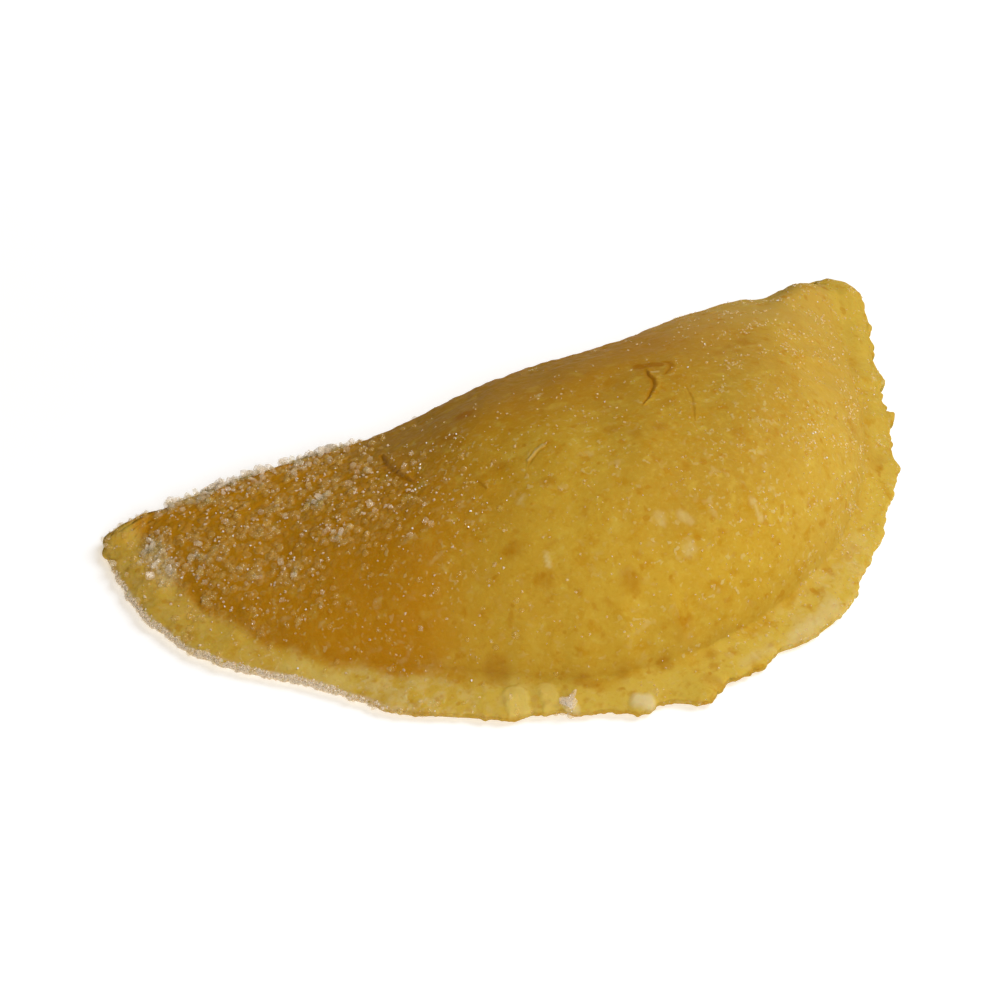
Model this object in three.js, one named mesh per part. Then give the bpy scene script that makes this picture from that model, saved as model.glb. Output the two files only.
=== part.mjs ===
// A sweet empanada: a round of soft yellow dough folded once over its filling
// and sealed along the open edge. It is uncut, so it is one closed solid.
//
// Millimetres. +X runs along the fold towards the fuller end, -Y faces the
// sealed rim, +Z is up. The finished solid stands on z = 0 with the middle of
// its footprint at the origin.
//
// The solid is a sphere whose meridians are laid out like spokes over the
// half-moon footprint, and whose parallels become rings that run from the top
// of the dome, over the edge, to the middle of the flat underside.

import * as THREE from 'three';
import { mergeVertices } from 'three/addons/utils/BufferGeometryUtils.js';

// ---------------------------------------------------------------- dimensions

// Footprint. The middle of the round is the point that angles are taken about:
// 180 degrees is the thin end, 270 the front of the rim, 360 the full end.
const ROUND_RADIUS = 60;         // the round of dough, before it is folded
const FOLD_BEHIND_MIDDLE = 2;    // the fold lies a little behind the middle
const CORNER_SHARPNESS = 26;     // higher makes the two ends less rounded
const HUB_BEFORE_MIDDLE = 24;    // the spokes start this far in front of it

// Hand-made swells and nips of the rim: where (degrees), how wide, how far out.
const RIM_SWELLS = [
  { at: 195, spread: 9, out: 1.3 },
  { at: 219, spread: 7, out: -2.4 },
  { at: 238, spread: 18, out: -2.8 },
  { at: 251, spread: 6, out: -1.3 },
  { at: 270, spread: 3, out: 1.2 },
  { at: 293, spread: 7, out: 1.0 },
  { at: 312, spread: 9, out: -1.8 },
  { at: 337, spread: 15, out: -4.0 },
  { at: 363, spread: 6, out: 1.8 },
];

// Swells of the fold: where along X, how wide, how far back.
const FOLD_SWELLS = [
  { at: -18, spread: 14, out: -1.4 },
  { at: 28, spread: 24, out: 0.3 },
  { at: 19, spread: 9, out: -0.8 },
  { at: 54, spread: 9, out: 2.6 },
];

// Sealed rim, from the crease at the foot of the dome out to the edge.
const RIM_THICKNESS = 2.4;
const CREASE_RADIUS = 54.8;
const CREASE_WIDTH = 0.45;       // the dome ends this far inside the crease
const CREASE_SWELLS = [
  { at: 237, spread: 18, out: -3.4 },
  { at: 338, spread: 18, out: -2.4 },
];
const MIN_EDGE_ROUNDING = 0.8;

// Small teeth that the cutting wheel left round the full end.
const TOOTH_DEPTH = 0.45;
const TOOTH_STEP_DEPTH = 0.35;   // some teeth stand out further than others
const TOOTH_UNEVENNESS = 7;      // waves of that difference round the whole edge
const TEETH_FROM = 292;
const TEETH_FULL_BY = 306;
const TEETH_TO = 362;

// Dome over the filling.
const FOLD_EXTRA_THICKNESS = 5.2;    // the fold's roll, over the rim's thickness
const FOLD_ROLL = (RIM_THICKNESS + FOLD_EXTRA_THICKNESS) / 2;
const FOLD_SHARE_THIN_END = 0.55;    // share of that roll left at the thin end
const FOLD_THINS_FROM = -2;
const FOLD_THIN_BY = -26;
const DOME_RISE = 19;
const DOME_RISE_LENGTH = 23.5;       // how far from the fold the dome rises
const DOME_SHARE_THIN_END = 0.37;    // share of the rise left at the thin end
const SHOULDER_FROM = -44.5;         // the filling's flank, along its own axis
const SHOULDER_TO = -9.5;
const SHOULDER_TURN = 32;            // degrees that the flank is turned
const FULLNESS_THIN_END = 3.2;       // higher keeps the dome full further out
const FULLNESS_FULL_END = 4.9;
const CREASE_STEEPNESS = 0.72;       // lower meets the rim more steeply

// Soft lumps of the filling under the dough.
const LUMPS = [
  { height: 0.35, lengthX: 27, lengthY: 34, shift: 0.6 },
  { height: 0.22, lengthX: 17, lengthY: -21, shift: 2.1 },
];

// Facets. The rings run over the dome to the crease, over the rim to the edge,
// and back under it. Higher crowding brings them closer to where they end.
const SPOKES = 200;
const DOME_RINGS = 13;
const RIM_RINGS = 5;
const UNDERSIDE_RINGS = 6;
const EDGE_RING = DOME_RINGS + RIM_RINGS;
const RINGS = EDGE_RING + UNDERSIDE_RINGS;
const DOME_CROWDING = 1.6;
const UNDERSIDE_CROWDING = 2.6;
const MERGE_WITHIN = 1e-4;

// ----------------------------------------------------------------- functions

const radians = THREE.MathUtils.degToRad;

/** Sum of the swells at a place. */
function swell(swells, place) {
  return swells.reduce(
    (sum, { at, spread, out }) => sum + out * Math.exp(-(((place - at) / spread) ** 2)),
    0,
  );
}

/** Angle about the middle of the round, from 90 degrees at the back. */
function angleAbout(x, y) {
  const angle = THREE.MathUtils.radToDeg(Math.atan2(y, x));
  return THREE.MathUtils.euclideanModulo(angle - 90, 360) + 90;
}

/** Distance of the back of the fold from the X axis. */
function foldLine(x) {
  return FOLD_BEHIND_MIDDLE + swell(FOLD_SWELLS, x);
}

/** How far the edge stands out or in on one spoke, where the wheel left teeth. */
function tooth(x, y, spoke) {
  const angle = angleAbout(x, y);
  if (angle > TEETH_TO) {
    return 0;
  }
  const zone = THREE.MathUtils.smoothstep(angle, TEETH_FROM, TEETH_FULL_BY);
  const uneven = TOOTH_DEPTH + TOOTH_STEP_DEPTH * Math.sin(spoke * TOOTH_UNEVENNESS);
  return zone * uneven * Math.cos((spoke * SPOKES) / 2);
}

/** The lesser of two lengths, rounded where they are nearly alike. */
function softLeast(a, b) {
  return (a ** -CORNER_SHARPNESS + b ** -CORNER_SHARPNESS) ** (-1 / CORNER_SHARPNESS);
}

/** Length of a spoke from the hub to a line round the footprint. */
function spokeTo(spoke, radius, swells, insideFold) {
  const alongX = Math.cos(spoke);
  const alongY = Math.sin(spoke);

  const forward = HUB_BEFORE_MIDDLE * alongY;
  const toRound = forward + Math.sqrt(forward ** 2 + radius ** 2 - HUB_BEFORE_MIDDLE ** 2);
  const angle = angleAbout(alongX * toRound, alongY * toRound - HUB_BEFORE_MIDDLE);
  const toRim = toRound + swell(swells, angle);
  if (alongY <= 0) {
    return toRim;
  }

  const straight = (FOLD_BEHIND_MIDDLE + HUB_BEFORE_MIDDLE) / alongY;
  const x = THREE.MathUtils.clamp(alongX * straight, -radius, radius);
  const toFold = (foldLine(x) - insideFold + HUB_BEFORE_MIDDLE) / alongY;
  return softLeast(toRim, toFold);
}

/** How much of the dome stands at a place: 1 over the filling, 0 on the rim. */
function domeShare(x, y) {
  const angle = y < 0 ? angleAbout(x, y) : angleAbout(x, 0);
  const crease = CREASE_RADIUS + swell(CREASE_SWELLS, angle);
  const out = Math.min(Math.hypot(x, Math.min(y, 0)) / (crease - CREASE_WIDTH), 1);
  const fullness = THREE.MathUtils.lerp(
    FULLNESS_THIN_END,
    FULLNESS_FULL_END,
    THREE.MathUtils.smoothstep(x, -ROUND_RADIUS / 2, ROUND_RADIUS / 2),
  );
  return (1 - out ** fullness) ** CREASE_STEEPNESS;
}

/** Thickness of the edge itself: the rim's, or the thicker roll of the fold. */
function edgeThickness(x, share) {
  const full = THREE.MathUtils.smoothstep(x, FOLD_THIN_BY, FOLD_THINS_FROM);
  const roll = THREE.MathUtils.lerp(FOLD_SHARE_THIN_END, 1, full) * FOLD_EXTRA_THICKNESS;
  return RIM_THICKNESS + share * roll;
}

/** Rise of the dome over the edge's thickness. */
function domeRise(x, y, share) {
  const turn = radians(SHOULDER_TURN);
  const along = x * Math.cos(turn) - (y + HUB_BEFORE_MIDDLE) * Math.sin(turn);
  const full = THREE.MathUtils.smoothstep(along, SHOULDER_FROM, SHOULDER_TO);
  const height = THREE.MathUtils.lerp(DOME_SHARE_THIN_END, 1, full) * DOME_RISE;
  const fromFold = Math.max(foldLine(x) - y, 0);
  const lumps = LUMPS.reduce(
    (sum, { height: high, lengthX, lengthY, shift }) =>
      sum + high * Math.sin(2 * Math.PI * (x / lengthX + y / lengthY) + shift),
    0,
  );
  return share * (1 - Math.exp(-fromFold / DOME_RISE_LENGTH)) * (height + lumps);
}

/** Distance of a ring from the hub, along a spoke. */
function ringDistance(ring, crease, edge) {
  if (ring <= DOME_RINGS) {
    return crease * (1 - (1 - ring / DOME_RINGS) ** DOME_CROWDING);
  }
  if (ring <= EDGE_RING) {
    return crease + (edge - crease) * Math.sin((Math.PI / 2) * ((ring - DOME_RINGS) / RIM_RINGS));
  }
  return edge * (1 - ((ring - EDGE_RING) / UNDERSIDE_RINGS) ** UNDERSIDE_CROWDING);
}

/** A point of the solid's skin for a direction on the unit sphere. */
function skinPoint(direction) {
  const spoke = Math.atan2(direction.y, direction.x);
  const ring = (Math.acos(THREE.MathUtils.clamp(direction.z, -1, 1)) / Math.PI) * RINGS;

  const edge = spokeTo(spoke, ROUND_RADIUS, RIM_SWELLS, 0);
  const crease = spokeTo(spoke, CREASE_RADIUS, CREASE_SWELLS, FOLD_ROLL);
  const distance = ringDistance(ring, crease, edge);
  const onRim = Math.max((distance - crease) / (edge - crease), 0);
  const edgeX = Math.cos(spoke) * edge;
  const edgeY = Math.sin(spoke) * edge - HUB_BEFORE_MIDDLE;
  const out = distance + onRim ** 2 * tooth(edgeX, edgeY, spoke);
  const x = Math.cos(spoke) * out;
  const y = Math.sin(spoke) * out - HUB_BEFORE_MIDDLE;

  const share = domeShare(x, y);
  const thickness = edgeThickness(x, share);
  const rounding = Math.max(thickness / 2, MIN_EDGE_ROUNDING);
  const fromEdge = Math.min((edge - distance) / rounding, 1);
  const roundOver = Math.sqrt(1 - (1 - fromEdge) ** 2);
  const z = ring <= EDGE_RING
    ? (thickness / 2) * (1 + roundOver) + domeRise(x, y, share)
    : (thickness / 2) * (1 - roundOver);
  return new THREE.Vector3(x, y, z);
}

/** The whole closed solid, standing on z = 0 over the middle of its footprint. */
function turnoverGeometry() {
  const sphere = new THREE.SphereGeometry(1, SPOKES, RINGS);
  sphere.rotateX(Math.PI / 2);
  sphere.deleteAttribute('normal');
  sphere.deleteAttribute('uv');
  const geometry = mergeVertices(sphere, MERGE_WITHIN);

  const positions = geometry.getAttribute('position');
  const direction = new THREE.Vector3();
  for (let i = 0; i < positions.count; i += 1) {
    direction.fromBufferAttribute(positions, i).normalize();
    const point = skinPoint(direction);
    positions.setXYZ(i, point.x, point.y, point.z);
  }

  geometry.computeBoundingBox();
  const middle = geometry.boundingBox.getCenter(new THREE.Vector3());
  geometry.translate(-middle.x, -middle.y, -geometry.boundingBox.min.z);
  geometry.computeVertexNormals();
  return geometry;
}

// --------------------------------------------------------------------- model

const dough = new THREE.MeshStandardMaterial({
  color: '#c9a03c',
  roughness: 0.55,
  metalness: 0,
});

const turnover = new THREE.Mesh(turnoverGeometry(), dough);
turnover.name = 'turnover';

const empanada = new THREE.Group();
empanada.add(turnover);

export default empanada;
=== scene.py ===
"""A sweet empanada: a round of soft yellow dough, folded over its filling and sealed round the open edge.

Its thin end wears a crust of coarse sugar, and finer sugar is strewn over the rest. The dough and each kind
of sugar are pieces of their own. Lengths in the classes are millimetres in the plan of the dough round, whose
middle is the origin: +X runs along the fold towards the full end, -Y towards the sealed rim.
Layout.to_frame() brings them into the frame, in metres.
"""
import logging
import math
from dataclasses import dataclass, replace
from enum import Enum, IntEnum

import bmesh
import bpy
import numpy as np
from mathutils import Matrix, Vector, noise


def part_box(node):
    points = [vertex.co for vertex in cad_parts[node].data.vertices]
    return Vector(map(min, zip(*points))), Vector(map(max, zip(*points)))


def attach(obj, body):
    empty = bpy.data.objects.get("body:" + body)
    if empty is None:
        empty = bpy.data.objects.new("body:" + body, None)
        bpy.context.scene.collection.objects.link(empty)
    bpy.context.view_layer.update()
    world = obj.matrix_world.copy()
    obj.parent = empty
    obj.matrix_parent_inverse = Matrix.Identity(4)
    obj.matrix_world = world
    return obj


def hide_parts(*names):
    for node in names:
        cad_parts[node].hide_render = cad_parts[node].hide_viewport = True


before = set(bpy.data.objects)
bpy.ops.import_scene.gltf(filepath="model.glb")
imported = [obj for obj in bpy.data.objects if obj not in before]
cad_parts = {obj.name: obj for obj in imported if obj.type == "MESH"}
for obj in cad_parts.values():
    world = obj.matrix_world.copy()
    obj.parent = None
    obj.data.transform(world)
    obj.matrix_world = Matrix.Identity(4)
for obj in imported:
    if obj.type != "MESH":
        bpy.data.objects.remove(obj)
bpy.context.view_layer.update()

MM = 0.001
BODY = "root"
NODE = "turnover"
LOG = logging.getLogger("empanada")


def smoothstep(value: np.ndarray, start: float, end: float) -> np.ndarray:
    """Rise smoothly from 0 at start to 1 at end."""
    share = np.clip((value - start) / (end - start), 0.0, 1.0)
    return share * share * (3.0 - 2.0 * share)


def bump(value: np.ndarray, at: float, spread: float) -> np.ndarray:
    """Give a smooth bump of height 1 at a place."""
    return np.exp(-(((value - at) / spread) ** 2))


@dataclass(frozen=True)
class Swell:
    """A swell, or a nip, of a line: where it is, how wide, and how far it goes out."""

    at: float
    spread: float
    out: float


@dataclass(frozen=True)
class Lump:
    """A soft wave of the filling under the dough."""

    height: float
    length_x: float
    length_y: float
    shift: float


@dataclass(frozen=True)
class HalfMoon:
    """The form of the folded dough, which the dough's mesh and all that lies on it share."""

    round_radius: float = 60.0
    fold_behind_middle: float = 2.0
    corner_sharpness: float = 26.0
    hub_before_middle: float = 24.0
    rim_swells: tuple[Swell, ...] = (
        Swell(195, 9, 1.3), Swell(219, 7, -2.4), Swell(238, 18, -2.8),
        Swell(251, 6, -1.3), Swell(270, 3, 1.2), Swell(293, 7, 1.0),
        Swell(312, 9, -1.8), Swell(337, 15, -4.0), Swell(363, 6, 1.8),
    )
    rim_nicks: tuple[Swell, ...] = ()
    fold_swells: tuple[Swell, ...] = (
        Swell(-18, 14, -1.4), Swell(28, 24, 0.3), Swell(19, 9, -0.8), Swell(54, 9, 2.6),
    )
    rim_thickness: float = 2.4
    crease_radius: float = 54.8
    crease_width: float = 0.45
    crease_swells: tuple[Swell, ...] = (Swell(237, 18, -3.4), Swell(338, 18, -2.4))
    min_edge_rounding: float = 0.8
    fold_extra_thickness: float = 5.2
    fold_share_thin_end: float = 0.55
    fold_thins_from: float = -2.0
    fold_thin_by: float = -26.0
    dome_rise: float = 19.0
    dome_rise_length: float = 23.5
    dome_share_thin_end: float = 0.37
    shoulder_from: float = -44.5
    shoulder_to: float = -9.5
    shoulder_turn: float = 32.0
    fullness_thin_end: float = 3.2
    fullness_full_end: float = 4.9
    crease_steepness: float = 0.72
    lumps: tuple[Lump, ...] = (Lump(0.35, 27, 34, 0.6), Lump(0.22, 17, -21, 2.1))

    @staticmethod
    def swell(swells: tuple[Swell, ...], place: np.ndarray) -> np.ndarray:
        """Sum the swells at a place."""
        return sum((s.out * bump(place, s.at, s.spread) for s in swells), np.zeros_like(place))

    @staticmethod
    def angle_about(x: np.ndarray, y: np.ndarray) -> np.ndarray:
        """Give the angle about the middle: 180 is the thin end, 270 the front, 360 the full end."""
        return np.mod(np.degrees(np.arctan2(y, x)) - 90.0, 360.0) + 90.0

    def fold_line(self, x: np.ndarray) -> np.ndarray:
        """Give the distance of the back of the fold from the X axis."""
        return self.fold_behind_middle + self.swell(self.fold_swells, x)

    def edge_along(self, spoke: np.ndarray) -> np.ndarray:
        """Give the length of a spoke from the hub to the edge of the footprint.

        Args:
            spoke: Angles about the hub, in radians.

        Returns:
            The length of each spoke.
        """
        along_x, along_y = np.cos(spoke), np.sin(spoke)
        hub, radius = self.hub_before_middle, self.round_radius
        forward = hub * along_y
        to_round = forward + np.sqrt(forward**2 + radius**2 - hub**2)
        angle = self.angle_about(along_x * to_round, along_y * to_round - hub)
        to_rim = to_round + self.swell(self.rim_swells, angle) + self.swell(self.rim_nicks, angle)
        back = np.maximum(along_y, 1e-3)
        x = np.clip(along_x * (self.fold_behind_middle + hub) / back, -radius, radius)
        to_fold = (self.fold_line(x) + hub) / back
        sharp = self.corner_sharpness
        both = (to_rim**-sharp + to_fold**-sharp) ** (-1.0 / sharp)
        return np.where(along_y > 0, both, to_rim)

    def crease_at(self, x: np.ndarray, y: np.ndarray) -> np.ndarray:
        """Give the radius of the crease in the direction of a place."""
        return self.crease_radius + self.swell(self.crease_swells, self.angle_about(x, np.minimum(y, 0.0)))

    def past_crease(self, x: np.ndarray, y: np.ndarray) -> np.ndarray:
        """Give how far a place lies outside the crease, which is negative on the dome."""
        return np.hypot(x, np.minimum(y, 0.0)) - self.crease_at(x, y)

    def inside_edge(self, x: np.ndarray, y: np.ndarray) -> np.ndarray:
        """Give how far a place lies inside the edge, along its spoke."""
        from_hub = y + self.hub_before_middle
        return self.edge_along(np.arctan2(from_hub, x)) - np.hypot(x, from_hub)

    def dome_share(self, x: np.ndarray, y: np.ndarray) -> np.ndarray:
        """Give how much of the dome stands at a place.

        Args:
            x: Places in the plan.
            y: Places in the plan.

        Returns:
            1 over the filling, 0 on the rim.
        """
        crease = self.crease_at(x, y) - self.crease_width
        out = np.minimum(np.hypot(x, np.minimum(y, 0.0)) / crease, 1.0)
        half = self.round_radius / 2
        full = smoothstep(x, -half, half)
        fullness = self.fullness_thin_end + (self.fullness_full_end - self.fullness_thin_end) * full
        return (1.0 - out**fullness) ** self.crease_steepness

    def edge_thickness(self, x: np.ndarray, share: np.ndarray) -> np.ndarray:
        """Give the thickness of the edge itself: the rim's, or the thicker roll of the fold.

        Args:
            x: Places in the plan.
            share: How much of the dome stands there.

        Returns:
            The thickness at each place.
        """
        full = smoothstep(x, self.fold_thin_by, self.fold_thins_from)
        roll = self.fold_share_thin_end + (1.0 - self.fold_share_thin_end) * full
        return self.rim_thickness + share * roll * self.fold_extra_thickness

    def dome_rise_at(self, x: np.ndarray, y: np.ndarray, share: np.ndarray) -> np.ndarray:
        """Give the rise of the dome over the edge's thickness.

        Args:
            x: Places in the plan.
            y: Places in the plan.
            share: How much of the dome stands there.

        Returns:
            The rise at each place.
        """
        turn = math.radians(self.shoulder_turn)
        along = x * math.cos(turn) - (y + self.hub_before_middle) * math.sin(turn)
        full = smoothstep(along, self.shoulder_from, self.shoulder_to)
        height = (self.dome_share_thin_end + (1.0 - self.dome_share_thin_end) * full) * self.dome_rise
        from_fold = np.maximum(self.fold_line(x) - y, 0.0)
        for lump in self.lumps:
            wave = 2.0 * math.pi * (x / lump.length_x + y / lump.length_y) + lump.shift
            height = height + lump.height * np.sin(wave)
        return share * (1.0 - np.exp(-from_fold / self.dome_rise_length)) * height

    def section(self, spoke: np.ndarray, way: np.ndarray) -> np.ndarray:
        """Give points of the skin over the top, round the edge and back under it.

        Args:
            spoke: Angles about the hub, in radians.
            way: 0 at the hub on top, from 1 to 2 round the edge, and 3 at the hub below.

        Returns:
            Points, one row each.
        """
        edge = self.edge_along(spoke)
        edge_x, edge_y = np.cos(spoke) * edge, np.sin(spoke) * edge - self.hub_before_middle
        rounding = np.maximum(
            self.edge_thickness(edge_x, self.dome_share(edge_x, edge_y)) / 2, self.min_edge_rounding
        )
        flat = edge - rounding
        turn = math.pi / 2 - math.pi * np.clip(way - 1.0, 0.0, 1.0)
        distance = np.where(way < 1.0, flat * way, flat + rounding * np.cos(turn))
        distance = np.where(way > 2.0, flat * (3.0 - way), distance)
        x = np.cos(spoke) * distance
        y = np.sin(spoke) * distance - self.hub_before_middle
        share = self.dome_share(x, y)
        z = self.edge_thickness(x, share) / 2 * (1.0 + np.sin(turn))
        z = z + np.where(turn > 0, self.dome_rise_at(x, y, share), 0.0)
        return np.stack([x, y, z], axis=-1)


def read_points(mesh: bpy.types.Mesh) -> np.ndarray:
    """Read the points of a mesh, one row each."""
    points = np.empty(len(mesh.vertices) * 3)
    mesh.vertices.foreach_get("co", points)
    return points.reshape(-1, 3)


def add_piece(name: str, mesh: bpy.types.Mesh, material: bpy.types.Material) -> bpy.types.Object:
    """Dress a mesh and link it to the scene.

    Args:
        name: The piece's name.
        mesh: Its mesh, in the frame.
        material: Its finish.

    Returns:
        The piece's object.
    """
    mesh.materials.append(material)
    piece = bpy.data.objects.new(name, mesh)
    bpy.context.scene.collection.objects.link(piece)
    return piece


@dataclass(frozen=True)
class Layout:
    """Where the plan of the dough round lies in the frame."""

    moon: HalfMoon
    middle: Vector

    @classmethod
    def of_frame(cls, moon: HalfMoon, outline_steps: int = 1440) -> "Layout":
        """Lay the plan where the frame's own solid lies.

        Args:
            moon: The form of the dough.
            outline_steps: How finely the outline is measured.

        Returns:
            The layout.
        """
        low, _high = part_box(NODE)
        spoke = np.linspace(0.0, 2.0 * math.pi, outline_steps, endpoint=False)
        plain = replace(moon, rim_nicks=())
        outline = plain.section(spoke, np.full_like(spoke, 1.5))
        return cls(moon, Vector((low.x - outline[:, 0].min() * MM, low.y - outline[:, 1].min() * MM, 0.0)))

    def to_frame(self, points: np.ndarray) -> np.ndarray:
        """Bring points of the plan, in millimetres, into the frame, in metres."""
        return points * MM + np.array(self.middle)

    def to_plan(self, points: np.ndarray) -> np.ndarray:
        """Bring points of the frame, in metres, back into the plan, in millimetres."""
        return (points - np.array(self.middle)) / MM


class By(Enum):
    """What a fade goes by."""

    X = "place along the fold"
    Y = "place across the fold, negative in front of it"
    Z = "height"
    ANGLE = "angle about the middle of the round"
    UP = "upward part of the skin's direction: 1 where it lies level, 0 on a wall"
    AWAY = "part of the skin's direction that faces the back and the full end"

    def measure(self, points: np.ndarray, normals: np.ndarray | None) -> np.ndarray:
        """Measure places by this value.

        Args:
            points: Places in the plan.
            normals: The skin's directions there, which only UP and AWAY need.

        Returns:
            The value at each place.
        """
        if self is By.ANGLE:
            return HalfMoon.angle_about(points[:, 0], points[:, 1])
        if self is By.UP:
            return normals[:, 2]
        if self is By.AWAY:
            return normals[:, 0] + normals[:, 1]
        return points[:, (By.X, By.Y, By.Z).index(self)]


@dataclass(frozen=True)
class Fade:
    """A smooth change from 0 at start to 1 at end."""

    by: By
    start: float
    end: float


@dataclass(frozen=True)
class Patch:
    """A soft-edged part of the skin, bounded by fades."""

    strength: float
    fades: tuple[Fade, ...]

    def share(self, points: np.ndarray, normals: np.ndarray | None = None) -> np.ndarray:
        """Give the patch's strength at each place, less towards its bounds.

        Args:
            points: Places in the plan.
            normals: The skin's directions there, for fades that go by them.

        Returns:
            The strength at each place, 0 outside the patch.
        """
        share = np.full(len(points), self.strength)
        for fade in self.fades:
            share = share * smoothstep(fade.by.measure(points, normals), fade.start, fade.end)
        return share


@dataclass(frozen=True)
class Trace:
    """Something that runs along a path over the plan."""

    path: tuple[tuple[float, float], ...]
    width: float

    def reach(self, x: np.ndarray, y: np.ndarray) -> tuple[np.ndarray, np.ndarray, np.ndarray]:
        """Measure how far places lie from the path, on which side, and how far along it.

        Args:
            x: Places in the plan.
            y: Places in the plan.

        Returns:
            The distance from the path, the signed one, positive on its left, and the share of its length.
        """
        nearest = np.full_like(x, np.inf)
        side, along = np.zeros_like(x), np.zeros_like(x)
        legs = len(self.path) - 1
        for leg, ((ax, ay), (bx, by)) in enumerate(zip(self.path, self.path[1:])):
            dx, dy = bx - ax, by - ay
            share = np.clip(((x - ax) * dx + (y - ay) * dy) / (dx * dx + dy * dy), 0.0, 1.0)
            away = np.hypot(x - ax - share * dx, y - ay - share * dy)
            left = (dx * (y - ay) - dy * (x - ax)) / math.hypot(dx, dy)
            closer = away < nearest
            side = np.where(closer, left, side)
            along = np.where(closer, (leg + share) / legs, along)
            nearest = np.minimum(away, nearest)
        return nearest, side, along


@dataclass(frozen=True)
class Crack(Trace):
    """A crack in the dough, with one raised lip. The spreads are shares of its width."""

    depth: float
    lip: float
    stain: float
    taper: float = 0.35
    ragged: float = 0.12
    ragged_size: float = 0.9
    groove_spread: float = 0.5
    lip_at: float = 0.9
    lip_spread: float = 0.8
    stain_spread: float = 0.75

    def carve(self, points: np.ndarray) -> tuple[np.ndarray, np.ndarray]:
        """Carve the crack.

        Args:
            points: Places in the plan.

        Returns:
            How far the skin stands out for it at each place, and the share of its stain.
        """
        away, side, along = self.reach(points[:, 0], points[:, 1])
        away = np.abs(away + self.ragged * rough(points, self.ragged_size, Noise.CRACKS))
        width = self.width * (self.taper + (1.0 - self.taper) * np.sin(math.pi * along))
        out = self.lip * bump(away, width * self.lip_at, width * self.lip_spread) * (side > 0)
        out -= self.depth * bump(away, 0.0, width * self.groove_spread)
        return out, self.stain * bump(away, 0.0, width * self.stain_spread)


@dataclass(frozen=True)
class Mark(Trace):
    """A patch of the skin that is paler or more orange, and may stand out a little."""

    pale: float = 0.0
    stain: float = 0.0
    lemon: float = 0.0
    lift: float = 0.0
    core: float = 0.3
    ragged: float = 0.3
    ragged_size: float = 1.1

    def share(self, points: np.ndarray) -> np.ndarray:
        """Give the share of the mark at each place: 1 in its core, fading to 0 at its width."""
        away = self.reach(points[:, 0], points[:, 1])[0]
        away = away + self.ragged * rough(points, self.ragged_size, Noise.MARKS)
        return smoothstep(away, self.width, self.width * self.core)


class Noise(IntEnum):
    """The first layer of the noise that each use reads, so that no two are alike."""

    WAVES = 0
    CRUST = 7
    RIM = 9
    FOLD = 13
    MARKS = 15
    CRACKS = 17
    SUGAR = 21
    TORN = 31


def rough(points: np.ndarray, size: float, layer: int, layer_step: float = 31.7) -> np.ndarray:
    """Give smooth noise from about -1 to 1.

    Args:
        points: Places in the plan.
        size: How wide the features are, in millimetres.
        layer: Which of the noise's layers is read.
        layer_step: How far apart the layers lie.

    Returns:
        The noise at each point.
    """
    shift = Vector((layer * layer_step, 0.0, 0.0))
    return np.array([noise.noise(Vector(point) / size + shift) for point in points])


Colour = tuple[float, float, float, float]
Socket = bpy.types.NodeSocket


@dataclass(frozen=True)
class Pattern:
    """A soft random pattern: how wide its features are, and where its value turns into a share."""

    size: float
    detail: float
    start: float
    end: float
    high: float = 1.0
    roughness: float = 0.5


@dataclass(frozen=True)
class Pebbles:
    """Close-packed rounded lumps edged by thin painted highlights, by the distance from each lump's middle.
    """

    size: float = 1.15
    middle: float = 0.05
    foot: float = 0.62
    glint_ring_in: tuple[float, float] = (0.28, 0.42)
    glint_ring_out: tuple[float, float] = (0.56, 0.44)
    pushed_by: float = 0.55
    pushed_over: float = 1.2


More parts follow.
